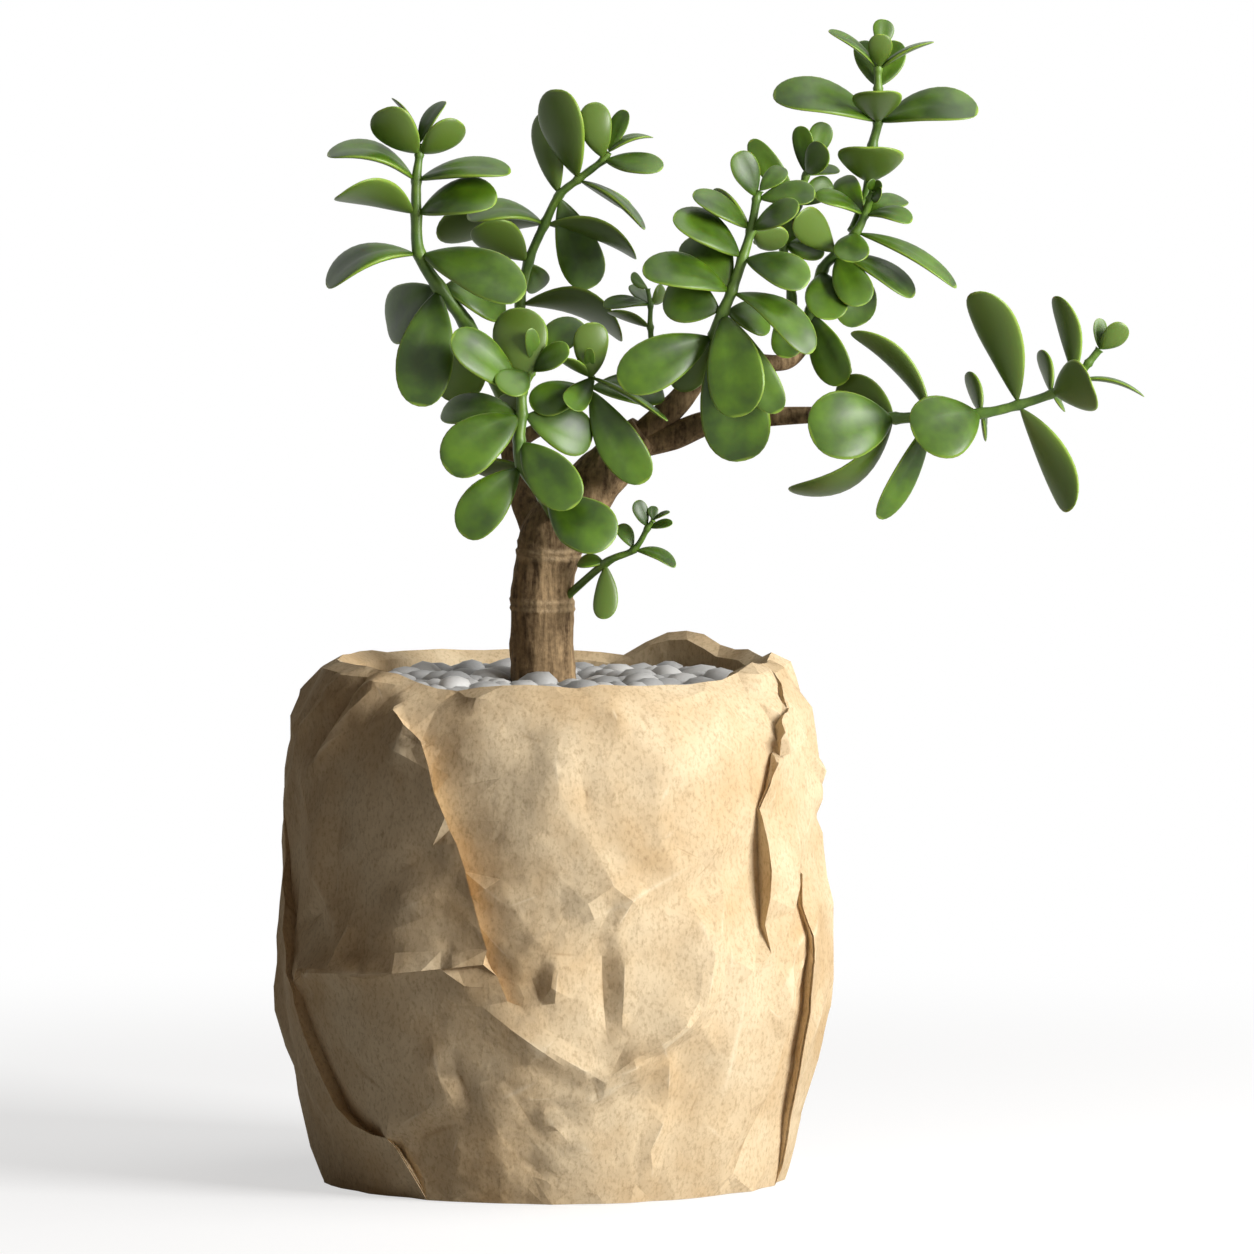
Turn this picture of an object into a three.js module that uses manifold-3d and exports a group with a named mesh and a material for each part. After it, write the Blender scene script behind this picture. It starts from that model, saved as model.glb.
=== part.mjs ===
// A potted jade plant: a branching succulent in a nursery pot, set in one crumpled sheet of kraft
// paper that is gathered up round the pot and tucked in over its rim, and topped with pebbles.
// Millimetres, +Z up. The origin is on the floor, on the axis of the pot. +X is right, +Y is back.

import * as THREE from "three";
import { mergeVertices } from "three/addons/utils/BufferGeometryUtils.js";
import Module from "manifold-3d";

const wasm = await Module();
wasm.setup();

// Driving dimensions, in millimetres and degrees
const GAP = 0.3;
const PAPER = 0.8;
const WRAP_RIM = 184;
const WRAP_TUCK = 166;
const WRAP_RIM_RADIUS = 81;
const TUCK_RADIUS = 72.6;
const TUCK_SLOPE = 0.08;
const RIM_ROLL = 3;
const RIM_FADE = 34;
const RIM_RUN = 16;
const RIM_COLUMNS = 56;
const POT_HEIGHT = 170;
const POT_RIM_RADIUS = 75.5;
const POT_FOOT_RADIUS = 62;
const POT_WALL = 1.4;
const POT_LIFT = 1.6;
const LIP_HEIGHT = 15;
const FOOT_RING = 14;
const FLOOR_RISE = 2;
const DRAIN_RADIUS = 5;
const DRAIN_COUNT = 6;
const DRAIN_CIRCLE = 34;
const SOIL_TOP = 169;
const SOIL_SHOULDER = 160;
const PEBBLE_WIDTH = 18;
const PEBBLE_PITCH = 15.2;
const PEBBLE_HEIGHT = 9;
const BED_RADIUS = 71;
const TRUNK_FOOT = 150;
const TRUNK_BACK = 6;
const PLANT_DEPTH = 1.4;

// Outline of the wrap over a turn, as [radius, height]: it bellies out and draws in to the rim
const WRAP_PROFILE = [
  [83, 0], [87, 10], [91, 30], [95, 50], [98.5, 66], [98.5, 92], [95.5, 124], [95, 146], [92.5, 164],
  [88, 176], [81, 184],
];

// Rim of the wrap round a turn, as [angle, moved out, raised]: rolled up at the left, dipped at the left
// of the front, gathered in pleats at the right, and raised to a corner at the back
const RIM_SHAPE = [
  [-180, 3, 0], [-163, 2, 2], [-147, 3, 1], [-134, 2, 0], [-126, 1, -4], [-117, 0, -12], [-111, 0, -8],
  [-104, 0, -3], [-35, 1, -3], [-30, 3, 1], [-24, 5, 3], [-16, 1, 0], [-8, 5, 2], [0, 0, -1], [8, 5, 2],
  [16, 1, -1], [24, 3, 1], [41, 1, 0], [50, 1, 2], [57, 2, 6], [66, 0, 3], [73, 0, -3], [122, 0, -2],
  [147, 2, 0], [180, 3, 0],
];

// Folds of the paper. Each line is a list of [angle, height], where angle 0 is +X and -90 the front.
// rise lifts the crease. drop is the step down on its far side, where one layer laps over another.
const WRAP_FOLDS = [
  { line: [[-129, 177], [-120, 167], [-115, 147], [-109, 126], [-104, 97], [-99, 74]], rise: 4, drop: 7 },
  { line: [[-154, 80], [-142, 82], [-130, 80], [-122, 83], [-104, 87]], rise: 4, drop: -6 },
  { line: [[-157, 76], [-159, 64], [-151, 40], [-144, 27], [-128, 18], [-124, 2]], rise: 1, drop: 7 },
  { line: [[-154, 107], [-142, 102], [-133, 90]], rise: -5, drop: 0 },
  { line: [[-156, 152], [-145, 177]], rise: -6, drop: 0 },
  { line: [[-99, 92], [-88, 103], [-71, 121], [-48, 136]], rise: 4, drop: 0 },
  { line: [[-53, 109], [-60, 92], [-60, 74], [-67, 59], [-90, 40]], rise: 5, drop: 0 },
  { line: [[-65, 55], [-63, 42], [-65, 15]], rise: -4, drop: 0 },
  { line: [[-25, 176], [-32, 168], [-34, 156], [-40, 139]], rise: 3, drop: -5 },
  { line: [[-26, 172], [-19, 166], [-24, 159], [-32, 157]], rise: 4, drop: 5 },
  { line: [[-40, 136], [-40, 118], [-41, 98]], rise: 6, drop: -9 },
  { line: [[-31, 128], [-27, 117], [-31, 106], [-36, 94], [-51, 76]], rise: 5, drop: 3 },
  { line: [[-24, 112], [-26, 83], [-26, 47], [-20, 8]], rise: 5, drop: -5 },
  { line: [[-31, 76], [-35, 45], [-42, 8]], rise: 4, drop: 6 },
  { line: [[-113, 85], [-96, 66], [-82, 50]], rise: 3, drop: 0 },
  { line: [[-80, 107], [-79, 90], [-78, 70]], rise: -3, drop: 0 },
  { line: [[-89, 96], [-89, 82], [-92, 72]], rise: 3, drop: 0 },
  { line: [[-97, 90], [-96, 72]], rise: -1, drop: 0 },
  { line: [[-111, 57], [-109, 42], [-101, 45], [-91, 54]], rise: 3, drop: 0 },
  { line: [[-131, 22], [-118, 29], [-109, 37]], rise: 3, drop: 0 },
  { line: [[-93, 26], [-88, 18], [-84, 7]], rise: 2, drop: 0 },
  { line: [[-160, 143], [-150, 123], [-153, 107]], rise: 4, drop: 0 },
  { line: [[-134, 89], [-123, 107], [-118, 127], [-112, 134]], rise: 4, drop: 0 },
  { line: [[-101, 172], [-92, 166], [-88, 150]], rise: -3, drop: 0 },
  { line: [[-68, 154], [-64, 162], [-55, 167]], rise: 2, drop: 0 },
  { line: [[-99, 128], [-92, 137], [-84, 146]], rise: 2, drop: 0 },
  { line: [[-75, 149], [-74, 139], [-68, 130]], rise: -2, drop: 0 },
  { line: [[-107, 123], [-101, 118], [-98, 106]], rise: 2, drop: 0 },
  { line: [[-62, 117], [-58, 106]], rise: -3, drop: 0 },
  { line: [[-71, 105], [-60, 94]], rise: 2, drop: 0 },
  { line: [[-172, 116], [-163, 93], [-160, 74]], rise: 3, drop: 5 },
  { line: [[-6, 170], [-9, 120], [-4, 60], [-8, 14]], rise: 3, drop: 5 },
  { line: [[176, 176], [172, 120], [174, 60], [176, 10]], rise: 3, drop: -5 },
  { line: [[32, 176], [24, 120], [36, 70], [30, 12]], rise: 5, drop: 6 },
  { line: [[70, 178], [62, 130], [72, 84], [64, 20]], rise: 5, drop: 0 },
  { line: [[104, 176], [112, 126], [100, 78], [108, 14]], rise: 5, drop: -6 },
  { line: [[150, 172], [140, 122], [148, 66], [142, 10]], rise: 5, drop: 5 },
  { line: [[44, 100], [66, 84], [96, 92], [124, 74]], rise: 4, drop: 0 },
];
const LAP_WIDTH = 1.6;
const UNDERLAP = 3.2;
const FOLD_END = 0.12;
const WALL_PER_DEGREE = 1.6;
const CREASE_STEP = 10;
const CRUMPLE_SPACING = 14.4;
const CRUMPLE_DEPTH = 2.3;
const CRUMPLE_SHIFT = 0.75;
const CRUMPLE_ROOM = 0.55;
const FOLD_ROOM = 2.2;
const FOOT_WAVE = 1.6;
const RIM_WAVE = 0.8;
const LAP_MARGIN = 30;
const EDGE_ROOM = 6;
const NUDGE = 0.02;
const SEED_STEP = 7919;

// Woody parts, as [right, back, up, radius] along each limb from the foot to the end
const LIMBS = {
  trunk: [
    [-3, 6, TRUNK_FOOT, 13], [-3, 6, 172, 12], [-4, 6, 190, 11.3], [-4, 6, 208, 11.3], [-3, 6, 219, 11],
    [0, 6, 231, 11.9], [8, 5, 242, 11.2], [16, 4, 252, 9.7], [25, 3, 262, 8.6], [33, 2, 269, 7.4],
  ],
  upper_branch: [
    [30, 3, 266, 5.6], [43, 1, 278, 4.7], [49, 1, 285, 4.1], [55, -1, 293, 3.4], [64, 3, 296, 3.2],
    [74, 8, 294, 3.1], [84, 10, 294, 2.9], [90, 12, 299, 2.5],
  ],
  lower_branch: [
    [28, 3, 264, 5], [43, 1, 268, 5.2], [56, -1, 273, 4.4], [74, -3, 275, 3.6], [95, -4, 276, 2.9],
    [113, -5, 276, 2.2],
  ],
  left_branch: [
    [-1, 7, 220, 6.5], [-7, 10, 235, 5.4], [-11, 13, 245, 4.9], [-14, 15, 256, 4.3], [-16, 16, 267, 3.8],
    [-16, 16, 277, 3.2],
  ],
  hook_branch: [
    [-15, 15, 262, 2.9], [-9, 15, 267, 2.9], [-3, 13, 270, 2.5], [3, 10, 271, 2],
  ],
};
const TRUNK_RINGS = [212, 228];
const RING_RADIUS = 12.4;
const RING_HEIGHT = 2.2;

// Green shoots. stem lists [right, back, up] from the wood outwards, and girth is its radius at the
// start and at the tip. Each leaf is [stem point, tip right, tip back, tip up, width, turn, bow]: the
// tip is measured from the stem point, turn rolls the blade about its own length in degrees, and bow
// is how far it arches as a share of its length.
const SHOOTS = {
  left_crown_shoot: {
    stem: [
      [-16, 16, 277], [-31, 2, 308], [-41, -3, 322], [-48, -2, 334], [-49, 0, 348], [-49, 2, 360],
      [-48, 3, 369], [-48, 3, 373],
    ],
    girth: [2.9, 1.2],
    leaves: [
      [6, -13, -8, 17, 17, 30, -0.05], [6, 15, -3, 12, 15, -40, -0.05],
      [7, -10, 4, 16, 8, 30, 0.1], [7, 9, 5, 15, 8, 10, 0.1],
      [5, -32, -4, 9, 20, -20, 0.17], [5, 34, -3, 3, 19, 20, 0.1],
      [4, -27, -15, 8, 19, 30, 0.12], [4, 29, -7, 5, 21, 40, 0.12],
      [3, -33, -4, -12, 20, -20, 0.17], [3, 37, -17, -15, 21, 40, 0.06],
      [2, -7, -12, -42, 21, -30, 0.06], [2, -19, 15, -15, 22, -80, 0.05],
      [2, 24, 12, -8, 19, 60, 0.1], [1, -4, 9, -29, 19, 20, 0.05],
    ],
  },
  left_rear_shoot: {
    stem: [
      [-15, 18, 268], [-12, 23, 281], [-12, 23, 299], [-12, 23, 314], [-9, 23, 329], [-3, 22, 343],
      [2, 21, 353], [9, 20, 359], [18, 19, 366], [20, 19, 369],
    ],
    girth: [2.1, 1.2],
    leaves: [
      [6, -2, -7, 38, 19, 0, -0.05], [6, -6, 5, 30, 13, 110, -0.05],
      [8, -4, -2, 21, 12, 60, -0.12], [8, 21, -8, -3, 14, 30, 0.05],
      [9, 6, 2, 15, 7, 50, -0.05], [9, 16, 3, 5, 9, 10, 0.15],
      [7, 24, -3, -18, 14, 0, 0.1], [7, 19, 7, -12, 10, -10, 0.03],
      [5, -28, -5, 2, 19, -20, 0.15], [5, 33, -6, -12, 20, -30, 0.14],
      [5, -39, 9, -6, 21, 40, 0.15], [6, 12, 10, -34, 17, 120, 0.05],
      [4, -18, -10, 14, 17, 40, 0.05], [4, 4, 9, -11, 10, 140, 0.05],
      [3, 37, -8, -12, 20, -40, 0.18],
    ],
  },
  front_left_shoot: {
    stem: [
      [1, 3, 238], [-3, -11, 247], [-11, -14, 259], [-12, -14, 268], [-11, -13, 277], [-11, -12, 285],
      [-8, -12, 292], [-7, -12, 294],
    ],
    girth: [2.5, 1.6],
    leaves: [
      [4, -27, -10, -19, 20, -60, 0.05], [4, 25, 5, -10, 18, 70, 0.06],
      [4, -29, 8, 0, 16, -40, 0.1], [3, 20, -10, -23, 18, 60, 0.06],
      [2, -21, -6, -25, 17, -70, 0.05], [2, -16, 10, -4, 14, 30, 0.05],
      [5, -25, -10, 21, 17, -70, 0.05], [5, -2, 3, 30, 20, 150, -0.06],
      [6, -10, -10, -6, 13, -40, 0.03], [5, -6, 9, -9, 10, 40, 0.03],
      [6, 14, -5, 9, 11, 60, 0.08], [6, 18, 6, 18, 14, 40, 0.05],
      [7, -1, -3, 14, 6, -140, 0], [1, 24, -8, -16, 21, 60, 0.06],
    ],
  },
  centre_rosette: {
    stem: [[2, 10, 270], [9, 2, 279], [13, -6, 286], [14, -9, 290]],
    girth: [1.7, 1.2],
    leaves: [
      [3, 0, -3, 20, 13, 10, -0.1], [3, -1, -6, 11, 4, -170, 0],
      [3, -8, -10, -10, 10, -40, -0.08], [3, -11, -4, 7, 8, 20, 0.05],
      [2, -21, -6, -6, 14, -50, 0.06], [2, 27, 7, -3, 15, 50, 0.06],
      [3, 27, -8, -15, 11, -10, 0.04], [2, 20, -2, -34, 16, 80, 0.05],
    ],
  },
  small_upright_shoot: {
    stem: [[49, 1, 284], [37, 3, 298], [35, 2, 307], [35, 2, 315], [34, 2, 321]],
    girth: [1.1, 0.8],
    leaves: [
      [2, -15, -4, 6, 9, 20, 0.06], [3, -17, -2, 0, 8, -30, 0.1],
      [3, -7, 4, 7, 6, -20, -0.05], [3, 5, 3, 6, 8, -70, -0.05],
      [4, -6, -2, 5, 6, -50, -0.05],
    ],
  },
  middle_front_shoot: {
    stem: [
      [56, -1, 293], [58, -10, 305], [61, -13, 314], [64, -13, 321], [68, -12, 333], [71, -11, 343],
      [73, -10, 354], [74, -10, 357],
    ],
    girth: [2.4, 1.3],
    leaves: [
      [6, -7, -3, 17, 11, -90, 0.03], [7, 9, 4, 8, 8, 40, 0.05],
      [5, -21, -3, 13, 13, -40, 0.08], [5, 17, -9, 8, 14, 50, 0.08],
      [6, 21, -2, 2, 11, 50, 0.06], [5, -14, 9, 12, 13, 50, 0.06],
      [4, -25, -4, 15, 17, -50, 0.08], [4, 23, -8, -9, 16, 40, 0.1],
      [3, -32, -7, 8, 17, -50, 0.1], [3, 29, -9, -21, 15, 30, 0.15],
      [3, -15, 7, 19, 19, -50, 0.05], [5, 12, 6, -6, 12, -50, 0.05],
      [2, -21, 3, 6, 18, -70, 0.05], [2, 17, 6, -5, 14, 60, 0.05],
      [2, 6, -10, -37, 21, 30, 0.07], [2, 20, -3, -36, 14, 70, 0.06],
      [1, -34, -10, -17, 19, -70, 0.05], [1, 11, 1, -45, 25, 90, 0.06],
      [1, -14, 8, -20, 13, 50, 0.05],
    ],
  },
  right_crown_shoot: {
    stem: [
      [90, 12, 299], [93, 12, 312], [97, 10, 327], [102, 8, 333], [109, 7, 341], [112, 7, 347],
      [114, 6, 353], [115, 5, 356],
    ],
    girth: [2.3, 1.2],
    leaves: [
      [2, 2, -13, -17, 16, 0, 0.05], [3, 9, 3, -26, 18, 90, 0.04],
      [3, 9, -9, -18, 14, 30, 0.04], [3, 28, -2, -15, 13, 30, 0.1],
      [1, 11, -7, -26, 14, 70, 0.06], [1, 14, 2, -23, 9, 140, 0.06],
      [4, -3, -12, -10, 13, -10, 0.03], [4, 36, -4, -20, 12, 20, 0.1],
      [5, -18, -5, 7, 12, -30, 0.1], [5, 17, -4, -2, 11, 20, 0.12],
      [5, -8, 10, 13, 10, -40, 0.08], [5, 15, 9, 5, 10, 30, 0.08],
      [6, 4, -5, 2, 6, 70, 0], [3, -14, -11, 15, 13, 70, 0.06],
      [7, -1, -2, 4, 4, -130, 0], [7, 3, -2, 3, 4, 90, 0],
    ],
    fork: {
      stem: [
        [108, 8, 341], [114, 14, 358], [115, 15, 371], [117, 15, 380], [117, 14, 392], [117, 14, 399],
        [118, 14, 406], [119, 14, 409],
      ],
      girth: [1.9, 1.2],
      leaves: [
        [6, 1, 2, 11, 8, 30, -0.05], [5, 1, -5, 13, 9, -10, -0.05],
        [5, -18, -2, 14, 9, -20, 0.1], [5, 20, -3, 10, 10, 10, 0.08],
        [4, -6, 6, 17, 10, -30, -0.05], [4, 7, 6, 17, 10, 30, -0.05],
        [3, -38, -5, 10, 19, -40, 0.13], [3, 36, -6, 4, 19, 40, 0.12],
        [3, 0, -15, 12, 18, 0, 0.04], [1, -1, -13, 17, 24, 0, 0.04],
      ],
    },
  },
  inner_right_shoot: {
    stem: [[84, 10, 294], [86, 12, 316], [83, 10, 336], [88, 11, 350], [91, 11, 361], [93, 11, 366]],
    girth: [1.8, 1.1],
    leaves: [
      [3, -17, -2, 24, 9, -100, 0.12], [3, 12, 3, 9, 9, 80, 0.04],
      [4, -2, -2, 18, 8, -160, -0.05], [4, 7, -7, 11, 11, 100, 0.05],
      [5, 5, 1, 14, 9, 90, -0.03], [4, 12, 5, 2, 6, 30, 0.04],
      [2, 0, -10, 11, 13, 180, 0.04], [2, 11, 3, 3, 9, 20, 0.05],
      [2, 14, -4, -4, 11, 30, 0.05], [2, -11, -3, 1, 5, -40, 0.1],
      [1, -3, -11, -20, 13, -20, 0.06],
    ],
  },
  right_arm_shoot: {
    stem: [
      [113, -5, 276], [123, -6, 275], [136, -7, 276], [154, -8, 277], [167, -8, 280], [179, -8, 284],
      [187, -8, 289], [192, -8, 295], [196, -8, 300],
    ],
    girth: [2.1, 1.3],
    leaves: [
      [1, -31, -13, -5, 26, -70, 0.07], [1, -21, 14, 10, 16, 100, 0.06],
      [1, -38, 8, -27, 13, 10, -0.2], [2, -29, 0, 30, 13, 0, 0.15],
      [3, -25, -10, -7, 25, -60, 0.05], [3, -6, 7, 13, 12, 80, 0.08],
      [2, -19, -1, -37, 13, -130, 0.06], [3, 1, 9, -8, 10, 90, 0.04],
      [4, -16, -5, 41, 17, 10, 0.14], [4, 18, -4, -38, 15, -40, 0.14],
      [5, -5, 7, 14, 12, 80, 0.08], [5, 14, -14, 4, 20, -70, 0.05],
      [6, -7, 1, 30, 12, 30, 0.1], [6, 25, -2, -6, 9, 0, 0.12],
      [8, 0, 1, 11, 6, 30, -0.04], [8, 9, -2, 9, 9, -60, -0.04],
      [5, 4, 9, -5, 8, 70, 0.04],
    ],
  },
  low_side_shoot: {
    stem: [[3, 4, 208], [19, -6, 223], [29, -9, 228], [34, -11, 236], [36, -12, 239]],
    girth: [1.5, 0.8],
    leaves: [
      [1, -1, -3, -20, 9, -10, 0.04], [1, -10, 3, 0, 9, -30, 0.05],
      [2, 15, -2, -6, 8, 30, 0.15], [2, -5, 2, 9, 6, -40, 0.05],
      [3, -4, -1, 10, 6, -80, 0.04], [3, 9, -1, 2, 5, 40, 0.06],
      [4, 0, 1, 5, 4, 10, 0], [4, 6, 0, 3, 4, 20, 0.08],
    ],
  },
};

// Blade of a leaf: [share of the length, share of the half width] from the stem to near the tip
const BLADE = [[0, 0.16], [0.3, 0.62], [0.62, 1], [0.9, 0.66]];
const SMALL_BLADE = [[0, 0.2], [0.5, 0.95], [0.84, 0.86]];
const SMALL_LEAF = 14;
const BLADE_THICKNESS = 0.17;
const LEAF_SEAT = 0.6;
const TIP_WIDTH = 0.12;
const TIP_THICKNESS = 0.03;

const COLOURS = {
  paper: 0xc9a878,
  pot: 0x2b2b2d,
  soil: 0x33241a,
  pebble: 0xbfc3c6,
  bark: 0x6b4f35,
  leaf: 0x4e7a22,
};

/** A repeatable random number from 0 to 1 for a whole-number seed. */
function chance(seed) {
  return THREE.MathUtils.seededRandom(Math.round((seed + 1) * SEED_STEP));
}

/** Straight-line value between the points of a list of [x, y], held level past both ends. */
function along(points, x) {
  const next = points.findIndex((point) => point[0] > x);
  if (next === 0) return points[0][1];
  if (next < 0) return points[points.length - 1][1];
  const [x0, y0] = points[next - 1];
  const [x1, y1] = points[next];
  return y0 + ((y1 - y0) * (x - x0)) / (x1 - x0);
}

/** A geometry from an array of points and a list of triangles of point numbers. */
function meshOf(points, triangles) {
  const geometry = new THREE.BufferGeometry();
  const places = points.flatMap((point) => [point.x, point.y, point.z]);
  geometry.setAttribute("position", new THREE.Float32BufferAttribute(places, 3));
  geometry.setIndex(triangles.flat());
  return geometry;
}

/** The solid of a closed geometry, ready to be joined or cut. */
function solidOf(geometry) {
  const bare = geometry.index ? geometry.clone() : geometry;
  bare.deleteAttribute("normal");
  bare.deleteAttribute("uv");
  const merged = mergeVertices(bare, 1e-4);
  return new wasm.Manifold(new wasm.Mesh({
    numProp: 3,
    vertProperties: new Float32Array(merged.attributes.position.array),
    triVerts: new Uint32Array(merged.index.array),
  }));
}

/** The geometry of a solid. */
function geometryOf(solid) {
  const mesh = solid.getMesh();
  const geometry = new THREE.BufferGeometry();
  geometry.setAttribute("position", new THREE.BufferAttribute(new Float32Array(mesh.vertProperties), 3));
  geometry.setIndex(new THREE.BufferAttribute(new Uint32Array(mesh.triVerts), 1));
  return geometry;
}

/** One solid from several that meet. */
function joined(solids) {
  return solids.reduce((whole, solid) => whole.add(solid));
}

/** A closed tube through rings of points, the same number in each, with a fan at both ends. */
function loft(rings) {
  const count = rings[0].length;
  const points = rings.flat();
  const triangles = [];
  for (let ring = 0; ring + 1 < rings.length; ring += 1) {
    for (let side = 0; side < count; side += 1) {
      const a = ring * count + side;
      const b = ring * count + ((side + 1) % count);
      triangles.push([a, b, b + count], [a, b + count, a + count]);
    }
  }
  const last = (rings.length - 1) * count;
  for (let side = 1; side + 1 < count; side += 1) {
    triangles.push([0, side + 1, side], [last, last + side, last + side + 1]);
  }
  return meshOf(points, triangles);
}

/** A round limb through [x, y, z, radius] points, grown by an allowance all round and past its ends. */
function limb(points, sides, grown = 0) {
  const centres = points.map(([x, y, z]) => new THREE.Vector3(x, y, z));
  const rings = centres.map((centre, step) => {
    const before = centres[Math.max(step - 1, 0)];
    const after = centres[Math.min(step + 1, centres.length - 1)];
    const way = after.clone().sub(before).normalize();
    const turn = new THREE.Quaternion().setFromUnitVectors(new THREE.Vector3(0, 0, 1), way);
    const end = step === centres.length - 1 ? grown : step === 0 ? -grown : 0;
    const middle = centre.clone().addScaledVector(way, end);
    return Array.from({ length: sides }, (_, side) => {
      const angle = (side / sides) * Math.PI * 2;
      const radius = points[step][3] + grown;
      return new THREE.Vector3(Math.cos(angle) * radius, Math.sin(angle) * radius, 0)
        .applyQuaternion(turn)
        .add(middle);
    });
  });
  return loft(rings);
}

/** Radius of the wrap at a height before any fold. */
function wrapRadius(height) {
  return along(WRAP_PROFILE.map(([radius, up]) => [up, radius]), height);
}

/** Points along a fold, evenly spaced, as { angle, height, share of the way }. */
function creasePoints(line) {
  const arc = line.map(([angle, height]) => new THREE.Vector2(angle * WALL_PER_DEGREE, height));
  const curve = new THREE.SplineCurve(arc);
  const steps = Math.max(2, Math.round(curve.getLength() / CREASE_STEP));
  return curve.getSpacedPoints(steps).map((point, step) => ({
    angle: point.x / WALL_PER_DEGREE,
    height: point.y,
    share: step / steps,
    way: curve.getTangent(step / steps),
  }));
}

/** All points of the sheet on its wall: the folds first, then crumples where there is room. */
function crumplePoints() {
  const found = [];
  const near = (angle, height, room) => found.some((other) => {
    const turn = Math.abs(((angle - other.angle + 540) % 360) - 180);
    return Math.hypot((turn * Math.PI * wrapRadius(height)) / 180, height - other.height) < room;
  });
  for (const fold of WRAP_FOLDS) {
    for (const spot of creasePoints(fold.line)) {
      const across = new THREE.Vector2(-spot.way.y, spot.way.x);
      const fade = Math.sin(Math.PI * (FOLD_END + (1 - 2 * FOLD_END) * spot.share));
      if (near(spot.angle, spot.height, FOLD_ROOM)) continue;
      found.push({ angle: spot.angle, height: spot.height, lift: fold.rise * fade });
      if (fold.drop === 0) continue;
      const side = Math.sign(fold.drop);
      const back = -side * (LAP_WIDTH + UNDERLAP * fade);
      found.push({
        angle: spot.angle + (across.x * side * LAP_WIDTH) / WALL_PER_DEGREE,
        height: spot.height + across.y * side * LAP_WIDTH,
        lift: (fold.rise - Math.abs(fold.drop)) * fade,
        turned: (across.x * back) / WALL_PER_DEGREE,
        raised: across.y * back,
      });
    }
  }
  const rows = Math.round(WRAP_RIM / CRUMPLE_SPACING);
  for (let row = 0; row < rows; row += 1) {
    const height = ((row + 0.5) * WRAP_RIM) / rows;
    const count = Math.round((2 * Math.PI * wrapRadius(height)) / CRUMPLE_SPACING);
    for (let step = 0; step < count; step += 1) {
      const seed = (row * rows * count + step) * 3;
      const shift = CRUMPLE_SHIFT * (chance(seed) - 0.5);
      const angle = ((step + 0.5 * (row % 2) + shift) * 360) / count - 180;
      const up = height + (chance(seed + 1) - 0.5) * CRUMPLE_SPACING * CRUMPLE_SHIFT;
      if (near(angle, up, CRUMPLE_SPACING * CRUMPLE_ROOM)) continue;
      found.push({ angle, height: up, lift: (chance(seed + 2) - 0.5) * 2 * CRUMPLE_DEPTH });
    }
  }
  return found;
}

/** Delaunay triangles of flat points, as point numbers in anticlockwise order. */
function triangulate(points) {
  const far = 1e5;
  const all = [...points, { x: -far, y: -far }, { x: far, y: -far }, { x: 0, y: far }];
  const first = points.length;
  const circle = (a, b, c) => {
    const [p, q, r] = [all[a], all[b], all[c]];
    const twist = 2 * (p.x * (q.y - r.y) + q.x * (r.y - p.y) + r.x * (p.y - q.y));
    const [pp, qq, rr] = [p, q, r].map((s) => s.x * s.x + s.y * s.y);
    const x = (pp * (q.y - r.y) + qq * (r.y - p.y) + rr * (p.y - q.y)) / twist;
    const y = (pp * (r.x - q.x) + qq * (p.x - r.x) + rr * (q.x - p.x)) / twist;
    return { a, b, c, x, y, reach: (p.x - x) ** 2 + (p.y - y) ** 2 };
  };
  let triangles = [circle(first, first + 1, first + 2)];
  points.forEach((point, number) => {
    const edges = new Map();
    const kept = [];
    for (const t of triangles) {
      if ((t.x - point.x) ** 2 + (t.y - point.y) ** 2 >= t.reach) {
        kept.push(t);
        continue;
      }
      for (const [from, to] of [[t.a, t.b], [t.b, t.c], [t.c, t.a]]) {
        const back = `${to},${from}`;
        if (edges.has(back)) edges.delete(back);
        else edges.set(`${from},${to}`, [from, to]);
      }
    }
    for (const [from, to] of edges.values()) kept.push(circle(from, to, number));
    triangles = kept;
  });
  return triangles.filter((t) => Math.max(t.a, t.b, t.c) < first).map((t) => [t.a, t.b, t.c]);
}

/** Place of a sheet point: run is the height up the wall, then on round the rim and down inside. */
function sheetPlace({ angle, height: run, lift, turned = 0, raised = 0 }) {
  const turn = THREE.MathUtils.degToRad(angle + turned);
  const out = along(RIM_SHAPE.map((row) => [row[0], row[1]]), angle);
  const up = along(RIM_SHAPE.map((row) => [row[0], row[2]]), angle);
  let radius;
  let height;
  if (run <= WRAP_RIM) {
    const share = THREE.MathUtils.smoothstep(run, WRAP_RIM - RIM_FADE, WRAP_RIM);
    radius = wrapRadius(run + raised) + lift + out * share;
    height = run + raised + up * share;
  } else if (run <= WRAP_RIM + RIM_RUN) {
    const bend = (Math.PI * (run - WRAP_RIM)) / RIM_RUN;
    const outer = WRAP_RIM_RADIUS + out;
    const half = (outer - TUCK_RADIUS) / 2;
    radius = outer - half + half * Math.cos(bend);
    height = WRAP_RIM + RIM_ROLL * Math.sin(bend) + lift + up;
  } else {
    const down = (run - WRAP_RIM - RIM_RUN) / (WRAP_RIM - WRAP_TUCK);
    radius = TUCK_RADIUS - down * (WRAP_RIM - WRAP_TUCK) * TUCK_SLOPE;
    height = THREE.MathUtils.lerp(WRAP_RIM + up, WRAP_TUCK, down);
  }
  return new THREE.Vector3(radius * Math.cos(turn), radius * Math.sin(turn), height);
}

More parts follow.
